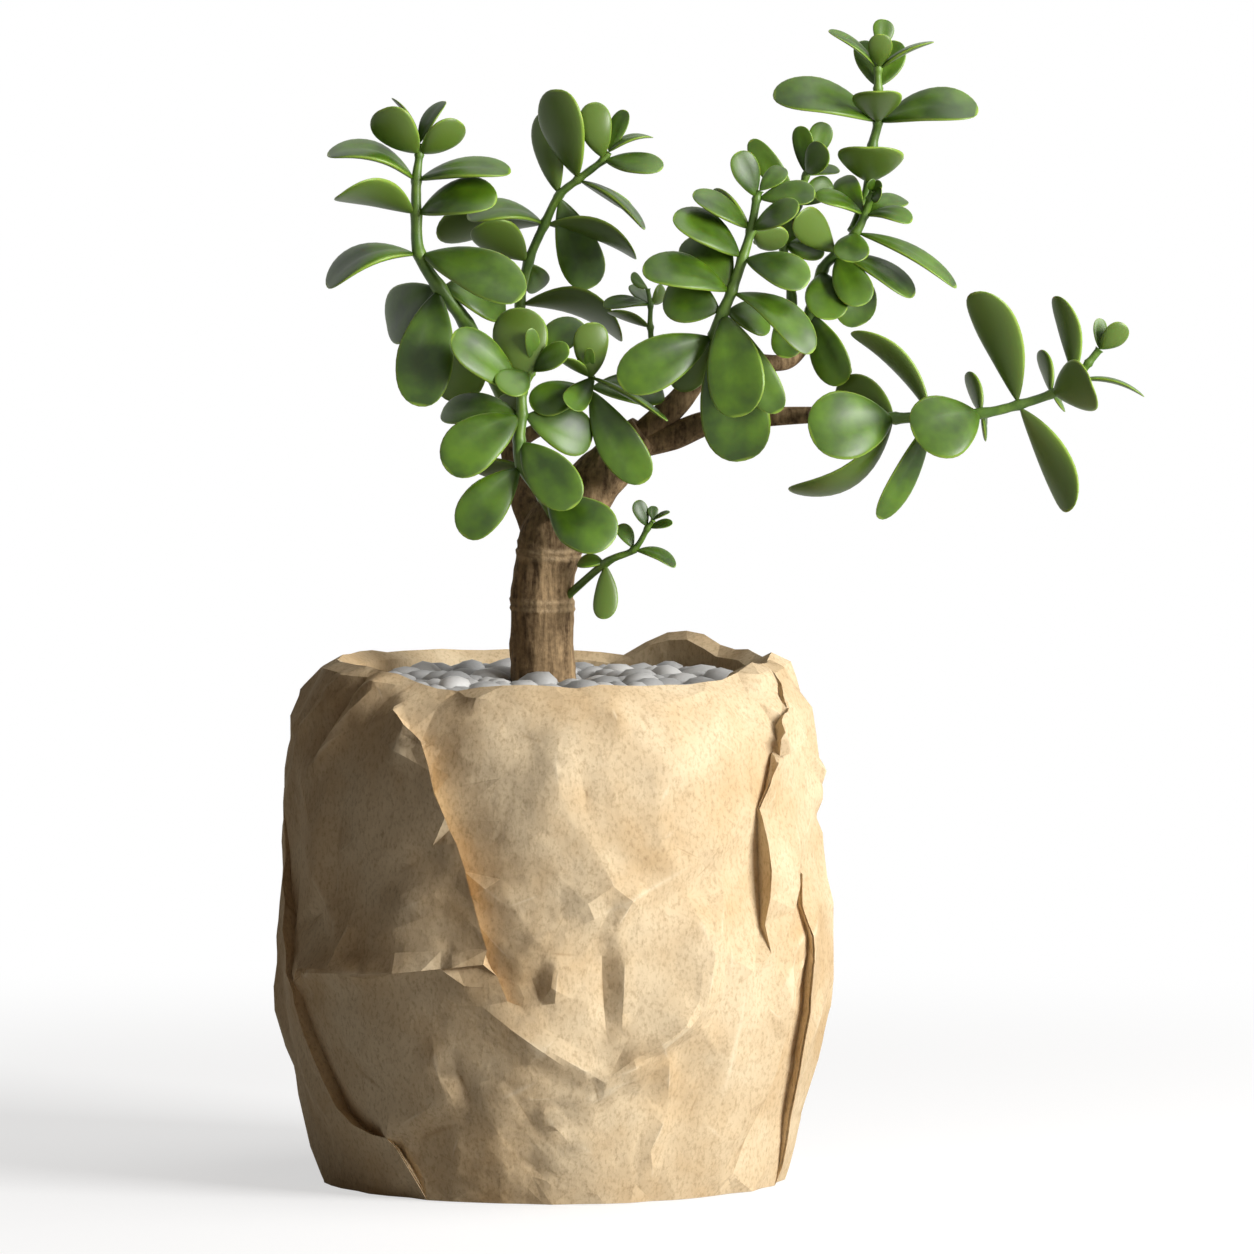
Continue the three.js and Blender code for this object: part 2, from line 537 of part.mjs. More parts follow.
/** The crumpled kraft sheet: under the pot, up its wall, over the rim and tucked down inside. */
function paperWrap() {
  const columns = RIM_COLUMNS;
  const end = WRAP_RIM + RIM_RUN + (WRAP_RIM - WRAP_TUCK);
  const spots = crumplePoints().filter(({ height }) => (
    height > EDGE_ROOM && height < WRAP_RIM - EDGE_ROOM
  ));
  const ring = (run, depth, shift) => {
    for (let step = 0; step < columns; step += 1) {
      const lift = depth * 2 * (chance(step * 7 + Math.round(run)) - 0.5);
      spots.push({ angle: ((step + shift) * 360) / columns - 180, height: run, lift });
    }
  };
  ring(0, FOOT_WAVE, 0);
  ring(WRAP_RIM, RIM_WAVE, 0.5);
  ring(WRAP_RIM + RIM_RUN / 2, RIM_WAVE, 0);
  ring(WRAP_RIM + RIM_RUN, 0, 0.5);
  ring(end, 0, 0);
  const flat = [];
  spots.forEach((spot, number) => {
    for (const lap of [-360, 0, 360]) {
      const angle = spot.angle + lap;
      if (angle < -180 - LAP_MARGIN || angle >= 180 + LAP_MARGIN) continue;
      flat.push({ x: angle * WALL_PER_DEGREE + NUDGE * chance(number), y: spot.height, number });
    }
  });
  const centre = (t) => t.reduce((sum, corner) => sum + flat[corner].x, 0) / 3;
  const half = 180 * WALL_PER_DEGREE;
  const kept = triangulate(flat).filter((t) => centre(t) >= -half && centre(t) < half);
  const walls = kept.map((t) => t.map((corner) => flat[corner].number));
  const triangles = walls.filter(([a, b, c]) => a !== b && b !== c && c !== a);
  const outer = spots.map(sheetPlace);
  return { spots, triangles, outer, columns, end };
}

/** A skin of the sheet closed by its thickness, with the flat floor that the pot stands on. */
function paperSolid() {
  const { spots, triangles, outer, columns, end } = paperWrap();
  const normals = outer.map(() => new THREE.Vector3());
  for (const [a, b, c] of triangles) {
    const way = new THREE.Vector3().crossVectors(
      outer[b].clone().sub(outer[a]),
      outer[c].clone().sub(outer[a]),
    );
    for (const corner of [a, b, c]) normals[corner].add(way);
  }
  const inner = outer.map((point, number) => {
    const spot = spots[number];
    if (spot.height === 0) return point.clone().multiplyScalar(1 - PAPER / WRAP_PROFILE[0][0]).setZ(PAPER);
    const moved = point.clone().addScaledVector(normals[number].normalize(), -PAPER);
    if (spot.height === end) moved.z = point.z;
    return moved;
  });
  const points = [...outer, ...inner];
  const shift = outer.length;
  const faces = [...triangles];
  for (const [a, b, c] of triangles) faces.push([a + shift, c + shift, b + shift]);
  const rim = spots.map((spot, number) => ({ ...spot, number })).filter((spot) => spot.height === end);
  rim.sort((one, other) => one.angle - other.angle);
  rim.forEach((spot, step) => {
    const next = rim[(step + 1) % columns].number;
    faces.push([spot.number, next, next + shift], [spot.number, next + shift, spot.number + shift]);
  });
  const foot = spots.map((spot, number) => ({ ...spot, number })).filter((spot) => spot.height === 0);
  foot.sort((one, other) => one.angle - other.angle);
  const under = points.push(new THREE.Vector3(0, 0, 0)) - 1;
  const over = points.push(new THREE.Vector3(0, 0, PAPER)) - 1;
  foot.forEach((spot, step) => {
    const next = foot[(step + 1) % columns].number;
    faces.push([under, next, spot.number], [over, spot.number + shift, next + shift]);
  });
  return meshOf(points, faces);
}

/** The thin plastic pot inside the wrap, with a rolled lip and drain holes in its floor. */
function nurseryPot() {
  const foot = POT_LIFT;
  const top = foot + POT_HEIGHT;
  const profile = [
    [0, foot + FLOOR_RISE], [POT_FOOT_RADIUS - FOOT_RING, foot + FLOOR_RISE],
    [POT_FOOT_RADIUS - FOOT_RING / 2, foot],
    [POT_FOOT_RADIUS, foot], [POT_RIM_RADIUS - 2, top - LIP_HEIGHT - 1],
    [POT_RIM_RADIUS, top - LIP_HEIGHT], [POT_RIM_RADIUS, top],
    [POT_RIM_RADIUS - POT_WALL, top], [POT_FOOT_RADIUS - POT_WALL, foot + POT_WALL + FLOOR_RISE],
    [0, foot + POT_WALL + FLOOR_RISE],
  ].map(([radius, height]) => new THREE.Vector2(radius, height));
  let pot = solidOf(new THREE.LatheGeometry(profile, 32).rotateX(Math.PI / 2));
  for (let hole = 0; hole < DRAIN_COUNT; hole += 1) {
    const angle = (hole / DRAIN_COUNT) * Math.PI * 2;
    const drill = new THREE.CylinderGeometry(DRAIN_RADIUS, DRAIN_RADIUS, 12, 12).rotateX(Math.PI / 2);
    drill.translate(Math.cos(angle) * DRAIN_CIRCLE, Math.sin(angle) * DRAIN_CIRCLE, foot + FLOOR_RISE);
    pot = pot.subtract(solidOf(drill));
  }
  return geometryOf(pot);
}

/** A point of the plant at its full depth: the tables hold depths as they look from the front. */
function deepened([x, y, ...rest]) {
  return [x, TRUNK_BACK + (y - TRUNK_BACK) * PLANT_DEPTH, ...rest];
}

/** All limbs of the wood, grown by an allowance where another piece is cut to seat against them. */
function wood(grown = 0) {
  const sides = { trunk: 10, upper_branch: 6, lower_branch: 6, left_branch: 6, hook_branch: 6 };
  const limbs = Object.entries(LIMBS).map(([name, points]) => (
    solidOf(limb(points.map(deepened), sides[name], grown))
  ));
  for (const height of TRUNK_RINGS) {
    const middle = along(LIMBS.trunk.map(([x, , z]) => [z, x]), height);
    const radius = RING_RADIUS + grown;
    const ring = new THREE.CylinderGeometry(radius, radius, RING_HEIGHT + grown, 12);
    ring.rotateX(Math.PI / 2).translate(middle, TRUNK_BACK, height);
    limbs.push(solidOf(ring));
  }
  return joined(limbs);
}

/** The soil that fills the pot, with a socket for the foot of the trunk. */
function pottingSoil(seat) {
  const low = POT_LIFT + POT_WALL + FLOOR_RISE + GAP;
  const slope = (POT_RIM_RADIUS - POT_FOOT_RADIUS) / (POT_HEIGHT - low);
  const side = (height) => POT_FOOT_RADIUS - POT_WALL + slope * (height - low) - 1;
  const profile = [
    [0, low], [side(low), low], [side(SOIL_SHOULDER), SOIL_SHOULDER],
    [side(SOIL_SHOULDER) + SOIL_SHOULDER - SOIL_TOP, SOIL_TOP], [0, SOIL_TOP],
  ].map(([radius, height]) => new THREE.Vector2(radius, height));
  return geometryOf(solidOf(new THREE.LatheGeometry(profile, 24).rotateX(Math.PI / 2)).subtract(seat));
}

/** One rounded pebble, turned and squashed by its number. */
function pebble(number, x, y, z) {
  const stone = new THREE.IcosahedronGeometry(PEBBLE_WIDTH / 2, 0);
  stone.rotateX(chance(number) * 6).rotateY(chance(number + 0.3) * 6);
  const long = 0.9 + 0.35 * chance(number + 0.5);
  const wide = 0.9 + 0.2 * chance(number + 0.7);
  stone.scale(long, wide, PEBBLE_HEIGHT / PEBBLE_WIDTH);
  stone.rotateZ(chance(number + 0.9) * 6).translate(x, y, z + 2 * chance(number + 0.2));
  return solidOf(stone);
}

/** The top dressing: one layer of pebbles packed so that each touches the next. */
function pebbleLayer(seat) {
  const stones = [];
  const rows = Math.floor(BED_RADIUS / (PEBBLE_PITCH * 0.87));
  for (let row = -rows; row <= rows; row += 1) {
    const y = row * PEBBLE_PITCH * 0.87;
    for (let step = -rows - 1; step <= rows + 1; step += 1) {
      const x = (step + 0.5 * (Math.abs(row) % 2)) * PEBBLE_PITCH;
      if (Math.hypot(x, y) > BED_RADIUS - PEBBLE_WIDTH * 0.63) continue;
      if (Math.hypot(x - LIMBS.trunk[1][0], y - LIMBS.trunk[1][1]) < LIMBS.trunk[1][3]) continue;
      stones.push(pebble((row + 20) * 40 + step + 20, x, y, SOIL_TOP + PEBBLE_HEIGHT / 2 + 0.6));
    }
  }
  return geometryOf(joined(stones).subtract(seat));
}

/** A fleshy leaf from its base to its tip: flat and rounded, thick in the middle, with a thin edge. */
function leaf([x, y, z, girth], [, right, back, up, width, turn, bow], seatShare) {
  const tip = new THREE.Vector3(x + right, y + back * PLANT_DEPTH, z + up);
  const way = new THREE.Vector3(right, back * PLANT_DEPTH, up).normalize();
  const base = new THREE.Vector3(x, y, z).addScaledVector(way, girth * seatShare);
  const length = tip.distanceTo(base);
  const flatWay = Math.hypot(way.x, way.y);
  const level = new THREE.Vector3(way.x / flatWay, way.y / flatWay, 0);
  const face = new THREE.Vector3(-level.x * way.z, -level.y * way.z, flatWay);
  face.applyAxisAngle(way, THREE.MathUtils.degToRad(turn));
  const side = new THREE.Vector3().crossVectors(face, way);
  const section = [[1, 0.1], [0, 0.5], [-1, 0.1], [0, -0.5]];
  const stations = width < SMALL_LEAF ? SMALL_BLADE : BLADE;
  const rings = stations.map(([share, half]) => {
    const arch = 4 * bow * length * share * (1 - share);
    const middle = base.clone().addScaledVector(way, share * length).addScaledVector(face, arch);
    const thick = (BLADE_THICKNESS * width * (1.25 - 0.55 * share) * (share === 0 ? 0.7 : 1));
    return section.map(([wide, deep]) => middle.clone()
      .addScaledVector(side, (wide * half * width) / 2)
      .addScaledVector(face, deep * thick));
  });
  const blunt = section.map(([wide, deep]) => tip.clone()
    .addScaledVector(side, wide * width * TIP_WIDTH)
    .addScaledVector(face, deep * width * TIP_THICKNESS));
  return solidOf(loft([...rings, blunt]));
}

/** A green stem with its leaves, in one solid. */
function shoot({ stem, girth, leaves, fork }) {
  const last = stem.length - 1;
  const points = stem.map(deepened).map((point, step) => (
    [...point, girth[0] + ((girth[1] - girth[0]) * step) / last]
  ));
  const solids = [solidOf(limb(points, 5))];
  for (const row of leaves) solids.push(leaf(points[row[0]], row, row[0] === last ? 0 : LEAF_SEAT));
  if (fork) solids.push(shoot(fork));
  return joined(solids);
}

/** A named mesh in one colour. */
function piece(name, geometry, colour, roughness) {
  const material = new THREE.MeshStandardMaterial({ color: colour, roughness, flatShading: true });
  const mesh = new THREE.Mesh(geometry, material);
  mesh.name = name;
  return mesh;
}

const seat = wood(GAP);
const plant = new THREE.Group();
plant.add(piece("paper_wrap", paperSolid(), COLOURS.paper, 0.9));
plant.add(piece("nursery_pot", nurseryPot(), COLOURS.pot, 0.5));
plant.add(piece("potting_soil", pottingSoil(seat), COLOURS.soil, 1));
plant.add(piece("pebble_layer", pebbleLayer(seat), COLOURS.pebble, 0.7));
plant.add(piece("trunk", geometryOf(wood()), COLOURS.bark, 0.9));
for (const [name, spec] of Object.entries(SHOOTS)) {
  plant.add(piece(name, geometryOf(shoot(spec).subtract(seat)), COLOURS.leaf, 0.4));
}

export default plant;
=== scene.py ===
"""Dresses a potted jade plant: kraft paper wrap, pebbles, bark, stems and fleshy leaves.

Everything is in metres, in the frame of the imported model: the origin is on the floor on the axis of
the pot, +Z is up, +X is the side that the long leafy arm reaches to, and -Y is the front.
"""

import itertools
import logging
import math
import random
from dataclasses import dataclass, field
from enum import Enum
from typing import Callable

import bmesh
import bpy
from mathutils import Matrix, Vector, noise


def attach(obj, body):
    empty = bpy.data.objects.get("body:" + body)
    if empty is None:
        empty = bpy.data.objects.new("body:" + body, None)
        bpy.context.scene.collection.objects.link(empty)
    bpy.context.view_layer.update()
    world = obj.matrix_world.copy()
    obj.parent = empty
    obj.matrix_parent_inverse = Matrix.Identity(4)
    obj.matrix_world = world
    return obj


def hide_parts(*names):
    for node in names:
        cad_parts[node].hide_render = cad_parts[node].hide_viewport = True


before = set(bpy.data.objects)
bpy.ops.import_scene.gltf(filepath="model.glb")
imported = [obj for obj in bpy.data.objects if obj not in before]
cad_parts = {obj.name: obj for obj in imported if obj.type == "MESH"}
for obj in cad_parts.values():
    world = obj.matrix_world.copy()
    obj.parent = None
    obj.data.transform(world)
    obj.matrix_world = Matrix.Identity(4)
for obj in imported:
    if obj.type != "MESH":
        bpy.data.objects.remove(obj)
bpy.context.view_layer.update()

log = logging.getLogger("jade_plant")

MM = 0.001
BODY = "root"
TRUNK_BACK = 6.0
PLANT_DEPTH = 1.4
OFF_LIMBS = Vector((0.0, 1.0, 0.1))
WHITE = (1.0, 1.0, 1.0, 1.0)
LEAF_SEED_STEP = 100
GOLDEN_TURN = 137.508
MERGE_DISTANCE = 1e-5
CUT_DISTANCE = 1e-6

Place = Callable[[float, float], Vector]
Leaf = tuple[int, float, float, float, float, float, float]
Point = tuple[float, float, float]
Socket = bpy.types.NodeSocket
Material = bpy.types.Material
BMesh = bmesh.types.BMesh


def linear(colour: str) -> tuple[float, float, float, float]:
    """Turns an sRGB hex colour into linear RGBA.

    Args:
        colour: Six hex digits after a hash sign.

    Returns:
        The linear red, green, blue and an alpha of 1.
    """
    parts = [int(colour[i:i + 2], 16) / 255 for i in (1, 3, 5)]
    red, green, blue = (c / 12.92 if c <= 0.04045 else ((c + 0.055) / 1.055) ** 2.4 for c in parts)
    return (red, green, blue, 1.0)


def add(tree: bpy.types.NodeTree, kind: str, settings: dict | None = None, links: dict | None = None,
        values: dict | None = None) -> bpy.types.Node:
    """Adds one node with its settings, input values and links.

    Args:
        tree: The material's node tree.
        kind: The node's type name.
        settings: Attributes of the node, such as its operation.
        links: Output sockets that feed its inputs, by input name or number.
        values: Constants for its inputs, by input name or number.

    Returns:
        The new node.
    """
    node = tree.nodes.new(kind)
    for name, value in (settings or {}).items():
        setattr(node, name, value)
    for name, value in (values or {}).items():
        node.inputs[name].default_value = value
    for name, socket in (links or {}).items():
        tree.links.new(socket, node.inputs[name])
    return node


def background_rays(tree: bpy.types.NodeTree) -> Socket:
    """Adds a value that is 1 for rays that look at the background, seen directly or by reflection.

    Args:
        tree: The node tree of the floor's material or of the world.

    Returns:
        The value, which is 0 for the rays that light the plant.
    """
    path = add(tree, "ShaderNodeLightPath").outputs
    seen = path["Is Camera Ray"]
    for kind in ("Is Glossy Ray", "Is Transmission Ray"):
        seen = add(tree, "ShaderNodeMath", {"operation": "MAXIMUM"}, {0: seen, 1: path[kind]}).outputs[0]
    return seen


class Finish:
    """A material under construction, patterned on the Object coordinates of its piece."""

    def __init__(self, name: str, constants: dict[str, float]) -> None:
        """Starts the material.

        Args:
            name: The material's name.
            constants: Values of the shader's inputs, by input name.
        """
        self.material = bpy.data.materials.new(name)
        self.material.use_nodes = True
        self.tree = self.material.node_tree
        self.shader = self.tree.nodes["Principled BSDF"]
        for socket, value in constants.items():
            self.shader.inputs[socket].default_value = value
        self.place = add(self.tree, "ShaderNodeTexCoord").outputs["Object"]

    def noise(self, size: float, upright: float = 1.0, **values: float) -> Socket:
        """Adds a noise pattern.

        Args:
            size: The millimetres that it repeats in.
            upright: Its scale along Z, where less than 1 draws it out upwards.
            values: Other constants of the noise, by input name.

        Returns:
            The pattern's value.
        """
        place = self.place
        if upright != 1.0:
            place = add(self.tree, "ShaderNodeMapping", links={"Vector": place},
                        values={"Scale": (1.0, 1.0, upright)}).outputs["Vector"]
        return add(self.tree, "ShaderNodeTexNoise", links={"Vector": place},
                   values={"Scale": 1 / (size * MM), **values}).outputs["Fac"]

    def attribute(self, name: str) -> Socket:
        """Reads one of the mesh's own float attributes, by name."""
        return add(self.tree, "ShaderNodeAttribute", {"attribute_name": name}).outputs["Fac"]

    def ramp(self, factor: Socket, stops: dict[float, str]) -> Socket:
        """Adds a ramp between two colours.

        Args:
            factor: The value that is coloured.
            stops: The two sRGB hex colours, by place.

        Returns:
            The ramp's colour.
        """
        node = add(self.tree, "ShaderNodeValToRGB", links={"Fac": factor})
        for element, (place, colour) in zip(node.color_ramp.elements, stops.items()):
            element.position = place
            element.color = linear(colour)
        return node.outputs["Color"]

    def limits(self, value: Socket, span: tuple[float, float], most: float,
               curve: str = "LINEAR") -> Socket:
        """Maps a value so that it leaves 0 and reaches its most at the two ends of a span.

        Args:
            value: The value.
            span: The two ends.
            most: The greatest result.
            curve: The interpolation between them.

        Returns:
            The mapped value.
        """
        return add(self.tree, "ShaderNodeMapRange", {"interpolation_type": curve}, {"Value": value},
                   {"From Min": span[0], "From Max": span[1], "To Max": most}).outputs["Result"]

    def sum(self, value: Socket, weight: float, base: Socket) -> Socket:
        """Adds a value, times its weight, to a base."""
        return add(self.tree, "ShaderNodeMath", {"operation": "MULTIPLY_ADD"}, {0: value, 2: base},
                   {1: weight}).outputs["Value"]

    def tinted(self, share: Socket, colour: Socket, tint: str) -> Socket:
        """Mixes a fixed colour over another.

        Args:
            share: How much of it covers the other.
            colour: The other colour.
            tint: The fixed colour, in sRGB hex.

        Returns:
            The mixed colour.
        """
        return add(self.tree, "ShaderNodeMix", {"data_type": "RGBA"}, {0: share, 6: colour},
                   {7: linear(tint)}).outputs[2]

    def bump(self, height: Socket, strength: float, depth: float, under: Socket | None = None) -> Socket:
        """Adds a bump.

        Args:
            height: The pattern that raises it.
            strength: Its strength.
            depth: Its depth in millimetres.
            under: The normal of another bump that it lies on.

        Returns:
            The bumped normal.
        """
        links = {"Height": height} if under is None else {"Height": height, "Normal": under}
        return add(self.tree, "ShaderNodeBump", links=links,
                   values={"Strength": strength, "Distance": depth * MM}).outputs["Normal"]

    def done(self, colour: Socket | None, normal: Socket | None) -> Material:
        """Links what was made into the shader.

        Args:
            colour: The base colour, if it has a pattern.
            normal: The bumped normal, if there is one.

        Returns:
            The finished material.
        """
        for socket, source in (("Base Color", colour), ("Normal", normal)):
            if source is not None:
                self.tree.links.new(source, self.shader.inputs[socket])
        return self.material


@dataclass(frozen=True)
class KraftPaper:
    """Unbleached kraft wrapping paper: matt, pulp-brown, with fibres, painted highlights on worn ridges and
    painted shade in valleys.
    """

    lit: str = "#D6C2A0"
    shade: str = "#C2A67E"
    fibre: str = "#856843"
    # Pale colour of ridge crests: worn fibres and a painted highlight.
    worn_and_highlight: str = "#EBDCBE"
    # Dark colour of valleys: painted shade where the sheet folds in.
    painted_valley_shade: str = "#8C6B43"
    fibre_mm: float = 1.3
    fibre_upright: float = 0.6
    fibre_span: tuple[float, float] = (0.48, 0.72)
    fibre_most: float = 0.45
    crease_span: tuple[float, float] = (0.76, 1.1)
    crease_most: float = 0.5
    cloud_mm: float = 38.0
    crinkle_mm: tuple[float, float] = (16.0, 5.0)
    crinkle_slope: float = 0.05
    roughness: float = 0.82
    specular: float = 0.1

    def material(self) -> Material:
        """Builds the paper: clouded pulp, fine fibres, creases marked with a painted highlight and painted
        shade, and a slight crinkle as bump.
        """
        finish = Finish("kraft_paper_crumpled",
                        {"Roughness": self.roughness, "Specular IOR Level": self.specular})
        cloud = finish.noise(self.cloud_mm, Detail=4.0, Roughness=0.6)
        fibre = finish.noise(self.fibre_mm, self.fibre_upright, Detail=3.0, Roughness=0.7)
        marks = finish.limits(fibre, self.fibre_span, self.fibre_most)
        colour = finish.tinted(marks, finish.ramp(cloud, {0.3: self.shade, 0.62: self.lit}), self.fibre)
        # Ridge crests are paled, partly for wear and partly as a painted highlight; valleys are darkened
        # with painted shade.
        for name, tint in (("ridge", self.worn_and_highlight), ("valley", self.painted_valley_shade)):
            line = finish.limits(finish.attribute(name), self.crease_span, self.crease_most, "SMOOTHSTEP")
            colour = finish.tinted(line, colour, tint)
        normal = finish.bump(fibre, 0.5, 0.15)
        for size in self.crinkle_mm:
            crinkle = finish.noise(size, Detail=1.0, Distortion=0.6)
            normal = finish.bump(crinkle, 1.0, size * self.crinkle_slope, normal)
        return finish.done(colour, normal)


@dataclass(frozen=True)
class JadeLeaf:
    """A living jade leaf: waxy, deep green on top, greyer beneath, with a bright yellow-green rim."""

    deep: str = "#2F480A"
    mid: str = "#547614"
    rim: str = "#93B23C"
    under: str = "#5B7428"
    speck_mm: float = 0.9
    cloud_mm: float = 14.0
    roughness: float = 0.4
    ior: float = 1.45
    flesh: float = 0.12
    flesh_mm: float = 2.0

    def material(self) -> Material:
        """Builds the leaf from its rim and underside attributes, with pores as bump."""
        finish = Finish("jade_leaf_waxy", {"Roughness": self.roughness, "IOR": self.ior,
                                           "Subsurface Weight": self.flesh,
                                           "Subsurface Scale": self.flesh_mm * MM})
        cloud = finish.noise(self.cloud_mm, Detail=3.0)
        top = finish.ramp(cloud, {0.35: self.deep, 0.65: self.mid})
        faced = finish.tinted(finish.attribute("under"), top, self.under)
        rimmed = finish.tinted(finish.attribute("rim"), faced, self.rim)
        pores = finish.noise(self.speck_mm, Detail=2.0)
        return finish.done(rimmed, finish.bump(pores, 0.25, 0.06))


@dataclass(frozen=True)
class Bark:
    """Young jade bark: grey-brown and corky, with upright cracks, dark furrows and pale scar rings."""

    light: str = "#A48A66"
    scar: str = "#C9B08A"
    dark: str = "#4B3925"
    crack_mm: float = 3.0
    crack_upright: float = 0.14
    grain_mm: float = 1.6
    grain_share: float = 0.35
    roughness: float = 0.85
    specular: float = 0.2

    def material(self) -> Material:
        """Builds the bark: upright cracks and corky grain, in colour and bump."""
        finish = Finish("jade_bark_corky",
                        {"Roughness": self.roughness, "Specular IOR Level": self.specular})
        crack = finish.noise(self.crack_mm, self.crack_upright, Detail=6.0, Roughness=0.65)
        grain = finish.noise(self.grain_mm, Detail=3.0)
        both = finish.sum(grain, self.grain_share, crack)
        seam = add(finish.tree, "ShaderNodeMath", {"operation": "MULTIPLY"},
                   {0: finish.attribute("scar"), 1: grain}).outputs["Value"]
        colour = finish.ramp(both, {0.5: self.dark, 0.85: self.light})
        return finish.done(finish.tinted(seam, colour, self.scar), finish.bump(both, 0.8, 0.9))


@dataclass(frozen=True)
class GreenStem:
    """A young jade stem: smooth, grass-green and faintly waxy."""

    light: str = "#6B8A2E"
    dark: str = "#466718"
    mottle_mm: float = 6.0
    roughness: float = 0.45

    def material(self) -> Material:
        """Builds the mottled green of the stem."""
        finish = Finish("jade_stem_green", {"Roughness": self.roughness})
        mottle = finish.noise(self.mottle_mm, Detail=4.0)
        return finish.done(finish.ramp(mottle, {0.35: self.dark, 0.7: self.light}), None)


@dataclass(frozen=True)
class RiverPebble:
    """Tumbled light grey pebbles: smooth and matt, each of its own shade, with mineral specks."""

    pale: str = "#C4C3C0"
    dark: str = "#7C7C7B"
    speck_mm: float = 1.1
    speck_share: float = 0.3
    roughness: float = 0.6

    def material(self) -> Material:
        """Builds the stone from each pebble's own shade attribute and fine specks."""
        finish = Finish("river_pebble_tumbled", {"Roughness": self.roughness})
        speck = finish.noise(self.speck_mm, Detail=4.0, Roughness=0.7)
        mixed = finish.sum(speck, self.speck_share, finish.attribute("shade"))
        return finish.done(finish.ramp(mixed, {0.1: self.dark, 1.0: self.pale}),
                           finish.bump(speck, 0.2, 0.1))


@dataclass(frozen=True)
class PottingMix:
    """Moist peat potting mix: near black-brown crumbs."""

    dark: str = "#1E150E"
    light: str = "#4A3626"
    crumb_mm: float = 3.0
    roughness: float = 0.95

    def material(self) -> Material:
        """Builds the crumbs in colour and bump."""
        finish = Finish("potting_mix_peat", {"Roughness": self.roughness})
        crumbs = add(finish.tree, "ShaderNodeTexVoronoi", links={"Vector": finish.place},
                     values={"Scale": 1 / (self.crumb_mm * MM)}).outputs["Distance"]
        raised = add(finish.tree, "ShaderNodeMath", {"operation": "SUBTRACT"}, {1: crumbs}, {0: 1.0})
        return finish.done(finish.ramp(crumbs, {0.1: self.light, 0.7: self.dark}),
                           finish.bump(raised.outputs["Value"], 0.9, 1.2))


@dataclass(frozen=True)
class PotPlastic:
    """Recycled polypropylene of a nursery pot: black, injection moulded, with a fine satin grain."""

    colour: str = "#232325"
    grain_mm: float = 0.6
    roughness: float = 0.5

    def material(self) -> Material:
        """Builds the plastic with its moulded grain as bump."""
        finish = Finish("polypropylene_black_moulded",
                        {"Roughness": self.roughness, "Base Color": linear(self.colour)})
        return finish.done(None, finish.bump(finish.noise(self.grain_mm), 0.3, 0.08))


def finish_piece(bm: BMesh, name: str, materials: list[Material],
                 nodes: list[str]) -> bpy.types.Object:
    """Turns a bmesh into a smooth-shaded piece that rides on the part and stands for its nodes.

    Args:
        bm: The mesh to use up.
        name: The piece's name.
        materials: Its materials, in the order of the faces' numbers.
        nodes: The CAD nodes that it replaces.

    Returns:
        The new object.
    """
    mesh = bpy.data.meshes.new(name)
    bm.to_mesh(mesh)
    bm.free()
    for material in materials:
        mesh.materials.append(material)
    mesh.shade_smooth()
    piece = bpy.data.objects.new(name, mesh)
    bpy.context.scene.collection.objects.link(piece)
    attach(piece, BODY)
    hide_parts(*nodes)
    log.info("%s: %d faces", name, len(mesh.polygons))
    return piece


def reshaped_ball(bm: BMesh, around: int, rows: int, place: Place,
                  material: int = 0) -> list[bmesh.types.BMVert]:
    """Adds a closed form by reshaping a ball: its rows run from one pole to the other.

    Args:
        bm: The mesh to add to.
        around: Faces around the form.
        rows: Faces from pole to pole.
        place: Where the point at a share of the way and an angle around goes.
        material: The number of the faces' material.

    Returns:
        The new vertices.
    """
    verts = bmesh.ops.create_uvsphere(bm, u_segments=around, v_segments=rows, radius=1.0)["verts"]
    for vert in verts:
        x, y, z = vert.co
        share = 1 - math.acos(max(-1.0, min(1.0, z))) / math.pi
        vert.co = place(share, math.atan2(y, x))
    for face in {face for vert in verts for face in vert.link_faces}:
        face.material_index = material
    return verts


def deepened(point: tuple[float, ...]) -> Vector:
    """Gives a point of the plant its full depth, because the tables hold depths seen from the front.

    Args:
        point: Right, back and up in millimetres. Anything after them is left out.

    Returns:
        The point, moved away from the trunk's middle plane.
    """
    return Vector((point[0], TRUNK_BACK + (point[1] - TRUNK_BACK) * PLANT_DEPTH, point[2]))


